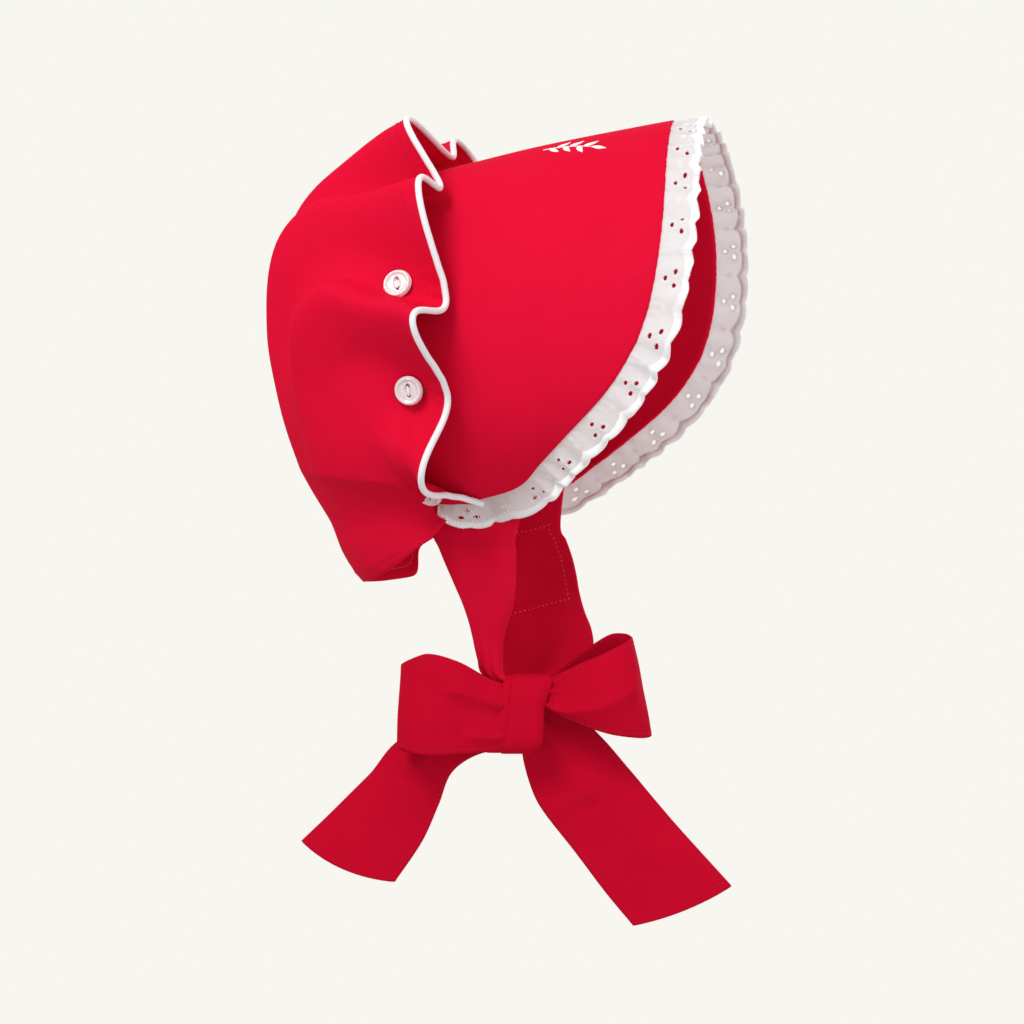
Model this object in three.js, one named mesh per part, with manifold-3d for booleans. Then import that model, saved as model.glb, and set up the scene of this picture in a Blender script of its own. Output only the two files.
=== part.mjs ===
// A child's cotton sun bonnet: a stiff curved brim edged in gathered eyelet lace, a soft crown with
// a deep piped frill buttoned over the back of the brim, and two wide ties knotted in a bow.
// Millimetres, +Z up, the face opening toward -Y, the wearer's right side toward -X.
// The origin is where the head bears on the inside of the brim's top.
import * as THREE from "three";
import { mergeVertices } from "three/addons/utils/BufferGeometryUtils.js";
import Module from "manifold-3d";

const wasm = await Module();
wasm.setup();

const DEGREE = Math.PI / 180;
const GAP = 0.3;
const CLOTH_GAP = 0.45;
// The power of the place along an arch by which something changes near the arch's two ends only.
const END_SHARPNESS = 8;
// The part of an arch's turn across which a slope is measured.
const TURN_STEP = 0.002;

// Driving sizes of the brim. It is an arch whose ends turn in under the jaw.
const ARCH_TURN = 151 * DEGREE;
const BRIM_WALL = 2;
const BRIM_REACH = 125;
const BRIM_TUCK = 12;
const BRIM_BELLY = 2;
const SEAM_HALF_WIDTH = 80;
const SEAM_MIDDLE = 80;
const SEAM_RISE = 92;
const SEAM_LEAN = 31;
const FRONT_NARROWER = 3;
const FRONT_HALF_WIDTH = SEAM_HALF_WIDTH - FRONT_NARROWER;
const FRONT_RISE = 119;
const FRONT_LIFT = 3;
const SEAT_BEHIND_FRONT = 130;

// How far the front edge stands ahead of the seam's lower ends, from the top of the arch to its end.
const FRONT_EDGE = [
  { turn: 0.0, reach: 0.936 },
  { turn: 0.24, reach: 0.981 },
  { turn: 0.4, reach: 1.0 },
  { turn: 0.52, reach: 0.974 },
  { turn: 0.6, reach: 0.914 },
  { turn: 0.7, reach: 0.794 },
  { turn: 0.815, reach: 0.592 },
  { turn: 0.887, reach: 0.472 },
  { turn: 0.947, reach: 0.384 },
  { turn: 0.98, reach: 0.296 },
  { turn: 1.0, reach: 0.2 },
];

// Driving sizes of the crown. Its sections are arches that fan back and down from the seam's ends.
// A section bows back or forward between its ends.
const CROWN_WALL = 1.2;
const CROWN_REACH = 180;
const CROWN_HALF_WIDTH = 90;
const FRILL_DEPTH = 26;
const FRILL_LIFT = 4;
const FRILL_LIFT_LOST_AT_END = 0.7;
const SEAM_ALONG = 0.09;
const SEAM_EASE = 0.12;
const CROWN_SECTIONS = [
  { along: 0.2, tilt: 20, reach: 0.99, width: 0.93, middle: 0.45, bow: 0.09 },
  { along: 0.3, tilt: 29, reach: 0.955, width: 0.93, middle: 0.43, bow: 0.03 },
  { along: 0.475, tilt: 43, reach: 0.79, width: 0.88, middle: 0.38, bow: 0 },
  { along: 0.65, tilt: 61, reach: 0.597, width: 0.8, middle: 0.34, bow: 0 },
  { along: 0.785, tilt: 79.3, reach: 0.468, width: 0.7, middle: 0.32, bow: 0 },
  { along: 0.88, tilt: 97, reach: 0.39, width: 0.62, middle: 0.3, bow: -0.06 },
  { along: 0.94, tilt: 113, reach: 0.375, width: 0.59, middle: 0.3, bow: -0.14 },
  { along: 1.0, tilt: 129, reach: 0.37, width: 0.56, middle: 0.3, bow: -0.26 },
];

// The neck edge hangs lower toward its ends on the right side. On the left side it is drawn in,
// up to a share of the way back. Both start where the hem's cloth starts.
const HEM_ALONG = 0.82;
const HANG = 9;
const HANG_SHARE = 0.3;
const TUCK = 16;
const TUCK_SHARE = 0.8;
const TUCK_WIDTH = 0.16;

// The buttons from the top of the arch to its end hold the frill down; depth is the frill's there,
// a share of its full depth. Slant is how much further down the arch the frill's edge lies than its
// button, and drift how fast the folds rise toward the top as they run back over the crown.
// The last row is the frill's end and has no button.
const FASTENINGS = [
  { turn: 0, depth: 1.04, slant: 0, drift: 0 },
  { turn: 0.24, depth: 1.18, slant: 0.042, drift: 0.35 },
  { turn: 0.472, depth: 0.96, slant: 0.036, drift: 0.7 },
  { turn: 0.69, depth: 0.8, slant: 0, drift: 0.3 },
  { turn: 0.94, depth: 0.45, slant: 0, drift: -0.3 },
  { turn: 0.982, depth: 0.9, slant: 0, drift: -0.3 },
];
const DRIFT_REACH = 0.2;
const BUTTON_DIAMETER = 15;
const BUTTON_THICKNESS = 2.6;
const BUTTON_RIM = 2.6;
const BUTTON_DISH = 0.7;
const BUTTON_HOLE = 2;
const BUTTON_HOLE_SPACING = 5;
// The sewing thread's post fits between the holes.
const SHANK_DIAMETER = BUTTON_HOLE_SPACING - BUTTON_HOLE - 2 * GAP;
const SHANK_HEIGHT = 0.8;
const BUTTON_HOLD = 0.8;
// The seam is slightly hollow across, so a shank stands this far off it.
const SHANK_GAP = 0.55;

// One fold of the frill between each two buttons: how far its crest stands out, how much of the pitch
// lies flat before it starts and after it ends, where between them the crest is, how far it leans
// toward the top, how far its crest carries the frill's edge ahead, and how much it is drawn out back
// over the crown.
const FOLD_HEIGHT = 32;
const FOLDS = [
  { height: 1.06, start: 0.04, end: 0.04, crest: 0.55, lean: 0, ahead: -0.1, trail: 0 },
  { height: 0.8, start: 0, end: 0, crest: 0.5, lean: 0.23, ahead: 0, trail: 0.34 },
  { height: 0.98, start: 0.2, end: 0, crest: 0.42, lean: 0.26, ahead: 0, trail: 0.36 },
  { height: 0.95, start: 0, end: 0.04, crest: 0.66, lean: 0.1, ahead: 0.26, trail: 0.34 },
];
const FOLD_FLAT = 0.13;
// How much rounder a fold's crest is than a plain wave's.
const FOLD_FULLNESS = 0.8;

// How much of a fold is left from the frill's edge back over the crown.
const FOLD_FADING = [
  { along: 0, left: 1 },
  { along: 0.09, left: 0.83 },
  { along: 0.2, left: 0.42 },
  { along: 0.3, left: 0.19 },
  { along: 0.42, left: 0.05 },
  { along: 0.55, left: 0 },
];

const PIPING_DIAMETER = 3;
const PIPING_GAP = 1.35;

// The lace runs around the brim's front edge, for most of its length, and back along its two ends.
// It ripples less at its seam and near its ends. Below the middle of the arch it hangs straighter down.
const LACE_WALL = 1;
const LACE_DEPTH = 18.5;
const LACE_SCALLOP = 1.2;
const LACE_RIPPLE = 2.2;
const LACE_GROUPS = 24;
const LACE_HANG = 0.55;
const LACE_FRONT_SHARE = 0.93;
const LACE_RIPPLE_AT_SEAM = 0.15;
const LACE_END_CALM = 0.6;
const LACE_END_NARROWING = 0.2;
const EYELET_DIAMETER = 3;
const EYELET_SPREAD = 5;
const EYELET_PLACE = 0.48;

// Driving sizes of the ties and the bow that they are knotted into. The bow faces the right side.
const TIE_WALL = 1.2;
const TIE_WIDTH = 52;
const KNOT_DROP = 111;
const KNOT_AHEAD = 38.5;
const BOW_TURN = 74 * DEGREE;
const KNOT_WIDTH = 22;
const KNOT_HEIGHT = 40;
const KNOT_DEPTH = 17;
const TIE_DRAWN_IN = 5;
const TIE_FLAT_SHARE = 0.7;
const TIE_SEWN_TURNS = [0.9, 0.955, 1.012];
const KNOT_ROUNDING = 0.8;

// The knot's sections from its bottom up.
const KNOT_SECTIONS = [
  { up: -0.49, left: -0.6, right: 0.0, depth: 0.6 },
  { up: -0.38, left: -0.57, right: 0.27, depth: 0.92 },
  { up: -0.17, left: -0.5, right: 0.31, depth: 1.0 },
  { up: 0.1, left: -0.45, right: 0.34, depth: 1.0 },
  { up: 0.3, left: -0.41, right: 0.5, depth: 0.95 },
  { up: 0.42, left: -0.4, right: 0.54, depth: 0.85 },
  { up: 0.5, left: -0.37, right: 0.37, depth: 0.6 },
];

// Ribbon sections are shares of the tie's width, seen from the bow's front and measured from the
// knot's middle: one edge, the other edge, how far both stand in front of it, and the belly between.
const LEFT_LOOP = [
  { at: 0.0, oneRight: -0.17, oneUp: 0.27, otherRight: -0.17, otherUp: -0.33, front: 0.08, belly: 0.02 },
  { at: 0.12, oneRight: -0.4, oneUp: 0.36, otherRight: -0.42, otherUp: -0.36, front: 0.14, belly: 0.05 },
  { at: 0.26, oneRight: -0.72, oneUp: 0.53, otherRight: -0.75, otherUp: -0.38, front: 0.22, belly: 0.05 },
  { at: 0.4, oneRight: -1.02, oneUp: 0.61, otherRight: -1.05, otherUp: -0.39, front: 0.22, belly: 0.04 },
  { at: 0.47, oneRight: -1.2, oneUp: 0.55, otherRight: -1.22, otherUp: -0.36, front: 0.15, belly: 0.02 },
  { at: 0.51, oneRight: -1.28, oneUp: 0.5, otherRight: -1.33, otherUp: -0.33, front: 0.02, belly: 0.0 },
  { at: 0.56, oneRight: -1.22, oneUp: 0.52, otherRight: -1.25, otherUp: -0.4, front: -0.12, belly: 0.0 },
  { at: 0.68, oneRight: -0.95, oneUp: 0.56, otherRight: -1.0, otherUp: -0.43, front: -0.18, belly: -0.03 },
  { at: 0.84, oneRight: -0.6, oneUp: 0.42, otherRight: -0.62, otherUp: -0.39, front: -0.1, belly: -0.03 },
  { at: 1.0, oneRight: -0.17, oneUp: 0.2, otherRight: -0.17, otherUp: -0.28, front: 0.0, belly: 0.0 },
];
const RIGHT_LOOP = [
  { at: 0.0, oneRight: 0.15, oneUp: 0.33, otherRight: 0.12, otherUp: 0.08, front: 0.08, belly: 0.02 },
  { at: 0.14, oneRight: 0.42, oneUp: 0.47, otherRight: 0.4, otherUp: -0.05, front: 0.16, belly: 0.05 },
  { at: 0.3, oneRight: 0.78, oneUp: 0.63, otherRight: 0.8, otherUp: -0.18, front: 0.2, belly: 0.05 },
  { at: 0.42, oneRight: 1.0, oneUp: 0.74, otherRight: 1.12, otherUp: -0.23, front: 0.15, belly: 0.03 },
  { at: 0.5, oneRight: 1.06, oneUp: 0.77, otherRight: 1.26, otherUp: -0.22, front: 0.0, belly: 0.0 },
  { at: 0.58, oneRight: 1.0, oneUp: 0.8, otherRight: 1.18, otherUp: -0.2, front: -0.14, belly: 0.0 },
  { at: 0.7, oneRight: 0.8, oneUp: 0.78, otherRight: 0.9, otherUp: -0.15, front: -0.18, belly: -0.04 },
  { at: 0.86, oneRight: 0.45, oneUp: 0.55, otherRight: 0.45, otherUp: -0.02, front: -0.1, belly: -0.04 },
  { at: 1.0, oneRight: 0.15, oneUp: 0.3, otherRight: 0.12, otherUp: 0.1, front: 0.0, belly: 0.0 },
];
const LEFT_TAIL = [
  { at: 0.0, oneRight: -0.14, oneUp: -0.1, otherRight: -0.1, otherUp: -0.34, front: -0.1, belly: 0.0 },
  { at: 0.18, oneRight: -0.62, oneUp: -0.14, otherRight: -0.5, otherUp: -0.42, front: -0.26, belly: 0.03 },
  { at: 0.36, oneRight: -1.28, oneUp: -0.28, otherRight: -0.8, otherUp: -0.62, front: -0.31, belly: 0.06 },
  { at: 0.56, oneRight: -1.64, oneUp: -0.66, otherRight: -0.94, otherUp: -0.96, front: -0.3, belly: 0.08 },
  { at: 0.76, oneRight: -1.96, oneUp: -0.98, otherRight: -1.1, otherUp: -1.32, front: -0.26, belly: 0.06 },
  { at: 1.0, oneRight: -2.32, oneUp: -1.32, otherRight: -1.38, otherUp: -1.73, front: -0.18, belly: 0.04 },
];
const RIGHT_TAIL = [
  { at: 0.0, oneRight: -0.08, oneUp: -0.24, otherRight: 0.12, otherUp: 0.0, front: -0.1, belly: 0.0 },
  { at: 0.14, oneRight: -0.05, oneUp: -0.48, otherRight: 0.51, otherUp: -0.1, front: -0.22, belly: 0.03 },
  { at: 0.3, oneRight: 0.04, oneUp: -0.79, otherRight: 0.77, otherUp: -0.3, front: -0.27, belly: 0.06 },
  { at: 0.42, oneRight: 0.15, oneUp: -1.0, otherRight: 1.01, otherUp: -0.58, front: -0.26, belly: 0.06 },
  { at: 0.62, oneRight: 0.48, oneUp: -1.43, otherRight: 1.27, otherUp: -0.89, front: -0.22, belly: 0.04 },
  { at: 0.82, oneRight: 0.82, oneUp: -1.87, otherRight: 1.61, otherUp: -1.28, front: -0.18, belly: 0.04 },
  { at: 1.0, oneRight: 1.07, oneUp: -2.17, otherRight: 2.06, otherUp: -1.77, front: -0.12, belly: 0.02 },
];

// The ties between brim and knot: out is a share of the seam end's half width, up a share of the
// knot's drop, and the back and front edges stand shares of the tie's width ahead of the seam's end.
const RIGHT_TIE = [
  { at: 0.3, out: 0.75, back: -0.05, backUp: -0.13, front: 0.76, frontUp: -0.147, belly: -0.02 },
  { at: 0.48, out: 0.65, back: 0.05, backUp: -0.32, front: 0.73, frontUp: -0.32, belly: 0.06 },
  { at: 0.65, out: 0.5, back: 0.15, backUp: -0.5, front: 0.67, frontUp: -0.48, belly: 0.08 },
  { at: 0.82, out: 0.3, back: 0.23, backUp: -0.7, front: 0.53, frontUp: -0.66, belly: 0.06 },
  { at: 0.93, out: 0.16, back: 0.33, backUp: -0.82, front: 0.53, frontUp: -0.825, belly: 0.02 },
  { at: 1.0, out: 0.02, back: 0.62, backUp: -0.87, front: 0.74, frontUp: -0.86, belly: 0.0 },
];
const LEFT_TIE = [
  { at: 0.3, out: 0.77, back: -0.02, backUp: -0.1, front: 0.84, frontUp: -0.1, belly: -0.02 },
  { at: 0.48, out: 0.7, back: 0.08, backUp: -0.28, front: 0.94, frontUp: -0.28, belly: 0.04 },
  { at: 0.65, out: 0.62, back: 0.17, backUp: -0.48, front: 1.05, frontUp: -0.47, belly: 0.05 },
  { at: 0.82, out: 0.56, back: 0.3, backUp: -0.7, front: 1.24, frontUp: -0.68, belly: 0.05 },
  { at: 0.93, out: 0.44, back: 0.38, backUp: -0.82, front: 1.08, frontUp: -0.8, belly: 0.02 },
  { at: 1.0, out: 0.14, back: 0.56, backUp: -0.89, front: 0.9, frontUp: -0.88, belly: 0.0 },
];

const RED = { color: 0xc80a2c, roughness: 0.82, metalness: 0 };
const WHITE = { color: 0xf4f4f2, roughness: 0.85, metalness: 0 };
const PEARL = { color: 0xf1eee8, roughness: 0.3, metalness: 0 };

// A value read from a table's column, smoothed by a cubic through its rows.
function readRow(rows, key, at, column) {
  const last = rows.length - 1;
  let index = 0;
  while (index < last - 1 && at > rows[index + 1][key]) index += 1;
  const before = rows[Math.max(index - 1, 0)];
  const from = rows[index];
  const to = rows[index + 1];
  const after = rows[Math.min(index + 2, last)];
  const span = to[key] - from[key];
  const share = (at - from[key]) / span;
  const slopeFrom = ((to[column] - before[column]) / (to[key] - before[key])) * span;
  const slopeTo = ((after[column] - from[column]) / (after[key] - from[key])) * span;
  const rise = to[column] - from[column];
  const square = share * share;
  return (
    from[column] +
    slopeFrom * share +
    (3 * rise - 2 * slopeFrom - slopeTo) * square +
    (slopeFrom + slopeTo - 2 * rise) * square * share
  );
}

// One half of an arch, from its top at turn 0 to its end: how far out and how far up from the base.
function archPoint(turn, halfWidth, middle, rise, drop) {
  const cosine = Math.cos(turn);
  const up = cosine > 0 ? middle + rise * cosine : middle + drop * cosine;
  return { out: halfWidth * Math.sin(turn), up };
}

// The seam between brim and crown. Turn runs from -1 at the right end over 0 at the top to 1.
function seamPoint(turn) {
  const drop = SEAM_MIDDLE / -Math.cos(ARCH_TURN);
  const { out, up } = archPoint(Math.abs(turn) * ARCH_TURN, SEAM_HALF_WIDTH, SEAM_MIDDLE, SEAM_RISE, drop);
  const height = up / (SEAM_MIDDLE + SEAM_RISE);
  return new THREE.Vector3(Math.sign(turn) * out, SEAM_LEAN * height ** 3, up);
}

function frontPoint(turn) {
  const drop = (SEAM_MIDDLE - FRONT_LIFT) / -Math.cos(ARCH_TURN);
  const { out, up } = archPoint(Math.abs(turn) * ARCH_TURN, FRONT_HALF_WIDTH, SEAM_MIDDLE, FRONT_RISE, drop);
  const reach = readRow(FRONT_EDGE, "turn", Math.abs(turn), "reach");
  return new THREE.Vector3(Math.sign(turn) * out, -BRIM_REACH * reach, up);
}

// The brim's outer face, at a length ahead of the seam.
function brimPoint(turn, ahead) {
  const seam = seamPoint(turn);
  const front = frontPoint(turn);
  const share = ahead / seam.distanceTo(front);
  const point = seam.lerp(front, share);
  const outward = new THREE.Vector3(point.x, 0, point.z - SEAM_MIDDLE).normalize();
  return point.addScaledVector(outward, BRIM_BELLY * 4 * share * (1 - Math.min(share, 1)));
}

function ribLength(turn) {
  return seamPoint(turn).distanceTo(frontPoint(turn));
}

function brimNormal(turn, ahead) {
  const from = Math.min(turn, 1 - TURN_STEP);
  const across = brimPoint(from + TURN_STEP, ahead).sub(brimPoint(from, ahead));
  const along = brimPoint(turn, ahead + 1).sub(brimPoint(turn, ahead - 1));
  return along.cross(across).normalize();
}

// The crown behind the seam before it is folded: an arch on a plane that tilts back with along.
function archSections() {
  const seamLength = Math.hypot(SEAM_MIDDLE + SEAM_RISE, SEAM_LEAN);
  const seat = CLOTH_GAP + CROWN_WALL;
  const seam = {
    along: SEAM_ALONG,
    tilt: Math.atan2(SEAM_LEAN, SEAM_MIDDLE + SEAM_RISE) / DEGREE,
    reach: (seamLength + seat) / CROWN_REACH,
    width: (SEAM_HALF_WIDTH + seat) / CROWN_HALF_WIDTH,
    middle: SEAM_MIDDLE / (SEAM_MIDDLE + SEAM_RISE),
    bow: SEAM_LEAN / CROWN_REACH,
  };
  return [seam, ...CROWN_SECTIONS];
}

const SECTIONS = archSections();

function hoodPoint(turn, along) {
  const read = (column) => readRow(SECTIONS, "along", along, column);
  const reach = CROWN_REACH * read("reach");
  const halfWidth = CROWN_HALF_WIDTH * read("width");
  const middle = reach * read("middle");
  const end = Math.PI - Math.asin((SEAM_HALF_WIDTH * Math.sin(ARCH_TURN) + CROWN_WALL + CLOTH_GAP) / halfWidth);
  const drop = middle / -Math.cos(end);
  const { out, up } = archPoint(Math.abs(turn) * end, halfWidth, middle, reach - middle, drop);
  const share = up / reach;
  const nearHem = Math.min(Math.max((along - HEM_ALONG) / (1 - HEM_ALONG), 0), 1);
  const drawn = Math.min(Math.max((TUCK_SHARE - share) / TUCK_WIDTH, 0), 1);
  const tucked = TUCK * drawn * drawn * (3 - 2 * drawn) * Math.min(share * 3, 1);
  const hanging = HANG * Math.exp(-((share / HANG_SHARE) ** 2));
  const bow = CROWN_REACH * read("bow") * (share * share - share) + (turn > 0 ? -tucked : hanging) * nearHem;
  const tilt = read("tilt") * DEGREE;
  return new THREE.Vector3(
    Math.sign(turn) * out,
    up * Math.sin(tilt) + bow * Math.cos(tilt),
    up * Math.cos(tilt) - bow * Math.sin(tilt),
  );
}

// A place on the crown's outer face where it lies on the brim, lifted off it toward the frill's edge.
function frillPoint(turn, share) {
  const place = Math.abs(turn);
  const depth = FRILL_DEPTH * readRow(FASTENINGS, "turn", place, "depth");
  const edgeTurn = turn + Math.sign(turn) * readRow(FASTENINGS, "turn", place, "slant") * share;
  const lift = CLOTH_GAP + CROWN_WALL + FRILL_LIFT * share * share * (1 - FRILL_LIFT_LOST_AT_END * Math.abs(turn) ** END_SHARPNESS);
  return brimPoint(edgeTurn, depth * share).addScaledVector(brimNormal(edgeTurn, depth * share), lift);
}

// The whole crown before it is folded: the frill ahead of the seam, the hood eased into it behind.
function crownBase(turn, along) {
  if (along < SEAM_ALONG) return frillPoint(turn, 1 - along / SEAM_ALONG);
  const ease = Math.max(1 - (along - SEAM_ALONG) / SEAM_EASE, 0) ** 2;
  const shift = frillPoint(turn, 0).sub(hoodPoint(turn, SEAM_ALONG));
  return hoodPoint(turn, along).addScaledVector(shift, ease);
}

// The fold that a place between two buttons lies in, and how much of its height it has there.
function foldAt(turn, along) {
  const past = Math.max(along - SEAM_ALONG, 0) / DRIFT_REACH;
  const drift = readRow(FASTENINGS, "turn", Math.abs(turn), "drift") * DRIFT_REACH * (1 - Math.exp(-past));
  const place = Math.min(Math.abs(turn) + drift, FASTENINGS[FOLDS.length + 1].turn);
  let index = 0;
  while (index < FOLDS.length && place > FASTENINGS[index + 1].turn) index += 1;
  if (index === FOLDS.length) return { fold: FOLDS[index - 1], rise: 0, pitch: 0 };
  const fold = FOLDS[index];
  const pitch = FASTENINGS[index + 1].turn - FASTENINGS[index].turn;
  const share = (place - FASTENINGS[index].turn) / pitch;
  const inward = Math.min(along / SEAM_ALONG, 1);
  const start = fold.start + (Math.max(fold.start, FOLD_FLAT) - fold.start) * inward;
  const end = fold.end + (FOLD_FLAT - fold.end) * inward;
  const raised = Math.min(Math.max((share - start) / (1 - start - end), 0), 1);
  const warped = Math.pow(raised, Math.log(0.5) / Math.log(fold.crest));
  const wave = Math.sin(Math.PI * warped) ** 2;
  return { fold, rise: wave * (1 + FOLD_FULLNESS * (1 - wave)), pitch };
}

function foldFade(along) {
  const last = FOLD_FADING[FOLD_FADING.length - 1].along;
  return Math.max(readRow(FOLD_FADING, "along", Math.min(along, last), "left"), 0);
}

// Each button holds the cloth around it down: 1 under its middle, fading out beyond its edge.
function heldDown(turn, along) {
  const asides = FASTENINGS.slice(0, -1).map((fastening) => Math.abs(Math.abs(turn) - fastening.turn));
  const aside = Math.min(...asides) * SEAM_HALF_WIDTH * ARCH_TURN;
  const behind = ((along - SEAM_ALONG) * FRILL_DEPTH) / SEAM_ALONG;
  return Math.exp(-(aside ** 2 + behind ** 2) / (BUTTON_HOLD * BUTTON_DIAMETER) ** 2);
}

function crownPoint(turn, along) {
  const { fold, rise, pitch } = foldAt(turn, along);
  const step = TURN_STEP;
  const trailing = along - fold.trail * Math.max(along - SEAM_ALONG, 0);
  const fade = foldFade(trailing) * rise * (1 - heldDown(turn, along));
  const leaned = turn - Math.sign(turn) * fold.lean * pitch * fade;
  const point = crownBase(leaned, along);
  const across = crownBase(leaned + step, along).sub(crownBase(leaned - step, along)).normalize();
  const back = crownBase(leaned, along + step).sub(crownBase(leaned, Math.max(along - step, 0))).normalize();
  const outward = across.clone().cross(back).normalize();
  const ahead = FOLD_HEIGHT * fold.ahead * fade * Math.max(1 - along / CROWN_SECTIONS[0].along, 0);
  return point.addScaledVector(outward, FOLD_HEIGHT * fold.height * fade).addScaledVector(back, -ahead);
}

// A grid of points, one row for each value along and one column for each value across.
function gridOf(alongs, acrosses, pointAt) {
  return alongs.map((along) => acrosses.map((across) => pointAt(across, along)));
}

function gridNormals(grid) {
  const rows = grid.length;
  const columns = grid[0].length;
  return grid.map((row, i) =>
    row.map((_, j) => {
      const down = grid[Math.min(i + 1, rows - 1)][j].clone().sub(grid[Math.max(i - 1, 0)][j]);
      const across = row[Math.min(j + 1, columns - 1)].clone().sub(row[Math.max(j - 1, 0)]);
      return across.cross(down).normalize();
    }),
  );
}

// A cloth wall: the grid is one face, the other lies a wall's thickness behind it.
function clothWall(grid, wall, side = 1) {
  const rows = grid.length;
  const columns = grid[0].length;
  const normals = gridNormals(grid);
  const behind = grid.map((row, i) => row.map((point, j) => point.clone().addScaledVector(normals[i][j], -side * wall)));
  const positions = [...grid.flat(), ...behind.flat()].flatMap((point) => [point.x, point.y, point.z]);
  const front = (i, j) => i * columns + j;
  const back = (i, j) => rows * columns + i * columns + j;
  const faces = [];
  const quad = (a, b, c, d) => faces.push(a, b, c, a, c, d);
  for (let i = 0; i + 1 < rows; i += 1) {
    for (let j = 0; j + 1 < columns; j += 1) {
      quad(front(i, j), front(i, j + 1), front(i + 1, j + 1), front(i + 1, j));
      quad(back(i, j), back(i + 1, j), back(i + 1, j + 1), back(i, j + 1));
    }
    quad(front(i, 0), front(i + 1, 0), back(i + 1, 0), back(i, 0));
    quad(front(i, columns - 1), back(i, columns - 1), back(i + 1, columns - 1), front(i + 1, columns - 1));
  }
  for (let j = 0; j + 1 < columns; j += 1) {
    quad(front(0, j), back(0, j), back(0, j + 1), front(0, j + 1));
    quad(front(rows - 1, j), front(rows - 1, j + 1), back(rows - 1, j + 1), back(rows - 1, j));
  }
  return closedGeometry(positions, faces);
}

// A closed geometry with its faces turned outward.
function closedGeometry(positions, faces) {
  const corner = (index) => new THREE.Vector3().fromArray(positions, 3 * faces[index]);
  let volume = 0;
  for (let index = 0; index < faces.length; index += 3) {
    volume += corner(index).dot(corner(index + 1).cross(corner(index + 2)));
  }
  if (volume < 0) faces.reverse();
  const geometry = new THREE.BufferGeometry();
  geometry.setAttribute("position", new THREE.Float32BufferAttribute(positions, 3));
  geometry.setIndex(faces);
  return geometry;
}

function toSolid(geometry) {
  const plain = geometry.clone();
  plain.deleteAttribute("normal");
  plain.deleteAttribute("uv");
  const merged = mergeVertices(plain, 1e-4);
  return new wasm.Manifold(
    new wasm.Mesh({
      numProp: 3,
      vertProperties: new Float32Array(merged.attributes.position.array),
      triVerts: new Uint32Array(merged.index.array),
    }),
  );
}

function toGeometry(solid) {
  const mesh = solid.getMesh();
  const geometry = new THREE.BufferGeometry();
  geometry.setAttribute("position", new THREE.BufferAttribute(mesh.vertProperties, 3));
  geometry.setIndex(new THREE.BufferAttribute(mesh.triVerts, 1));
  return geometry;
}

// Cuts every other solid away from the first.
function cutAway(geometry, cutters) {
  return toGeometry(cutters.reduce((solid, cutter) => solid.subtract(toSolid(cutter)), toSolid(geometry)));
}

function evenly(from, to, count) {
  return Array.from({ length: count + 1 }, (_, index) => from + ((to - from) * index) / count);
}

// Even steps within each fold, so every button's flat and every crest gets its own columns.
function foldTurns(stepsInFold, stepsAtEnd) {
  const half = [];
  for (let index = 0; index < FOLDS.length; index += 1) {
    half.push(...evenly(FASTENINGS[index].turn, FASTENINGS[index + 1].turn, stepsInFold).slice(0, -1));
  }
  half.push(...evenly(FASTENINGS[FOLDS.length].turn, FASTENINGS[FOLDS.length + 1].turn, stepsAtEnd));
  const mirrored = half.slice(1).map((turn) => -turn);
  return [...mirrored.reverse(), ...half];
}

function brimShape() {
  const columns = evenly(-1, 1, 60);
  const shares = evenly(0, 1, 3);
  const grid = gridOf(shares, columns, (turn, share) => {
    const tuck = BRIM_TUCK * (1 - Math.abs(turn) ** END_SHARPNESS);
    return brimPoint(turn, -tuck + (ribLength(turn) + tuck) * share);
  });
  return clothWall(grid, BRIM_WALL, -1);
}

const CROWN_ALONGS = [0, SEAM_ALONG / 2, SEAM_ALONG, 0.12, 0.17, 0.24, 0.33, 0.46, 0.62, 0.82, 1];
const CROWN_GRID = gridOf(CROWN_ALONGS, foldTurns(8, 2), crownPoint);

function crownShape() {
  return clothWall(CROWN_GRID, CROWN_WALL, 1);
}

// A round cord along a line of points, closed by flat ends.
function roundCord(points, diameter, sides) {
  const positions = [];
  const faces = [];
  const up = new THREE.Vector3(0, 0, 1);
  points.forEach((point, index) => {
    const before = points[Math.max(index - 1, 0)];
    const after = points[Math.min(index + 1, points.length - 1)];
    const forward = after.clone().sub(before).normalize();
    const across = forward.clone().cross(new THREE.Vector3(0, 1, 0));
    if (across.length() < 0.2) across.copy(forward.clone().cross(up));
    across.normalize();
    const third = forward.clone().cross(across);
    for (let side = 0; side < sides; side += 1) {
      const angle = (2 * Math.PI * side) / sides;
      const corner = point.clone();
      corner.addScaledVector(across, (Math.cos(angle) * diameter) / 2);
      corner.addScaledVector(third, (Math.sin(angle) * diameter) / 2);
      positions.push(corner.x, corner.y, corner.z);
    }
  });
  for (let index = 0; index + 1 < points.length; index += 1) {
    for (let side = 0; side < sides; side += 1) {
      const next = (side + 1) % sides;
      const a = index * sides + side;
      const b = index * sides + next;
      faces.push(a, b, b + sides, a, b + sides, a + sides);
    }
  }
  const lastRing = (points.length - 1) * sides;
  for (let side = 1; side + 1 < sides; side += 1) {
    faces.push(0, side + 1, side);
    faces.push(lastRing, lastRing + side, lastRing + side + 1);
  }
  return closedGeometry(positions, faces);
}

// The piping lies against the frill's edge, half its own thickness and the gap ahead of it.
function pipingShape() {
  const step = 0.01;
  const points = foldTurns(8, 2).map((turn) => {
    const edge = crownPoint(turn, 0);
    const forward = edge.clone().sub(crownPoint(turn, step)).normalize();
    const across = crownPoint(turn + step, 0).sub(crownPoint(turn - step, 0)).normalize();
    const outward = forward.clone().cross(across).normalize();
    edge.addScaledVector(forward, PIPING_DIAMETER / 2 + PIPING_GAP);
    return edge.addScaledVector(outward, PIPING_DIAMETER / 2 - CROWN_WALL);
  });
  return roundCord(points, PIPING_DIAMETER, 5);
}

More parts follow.
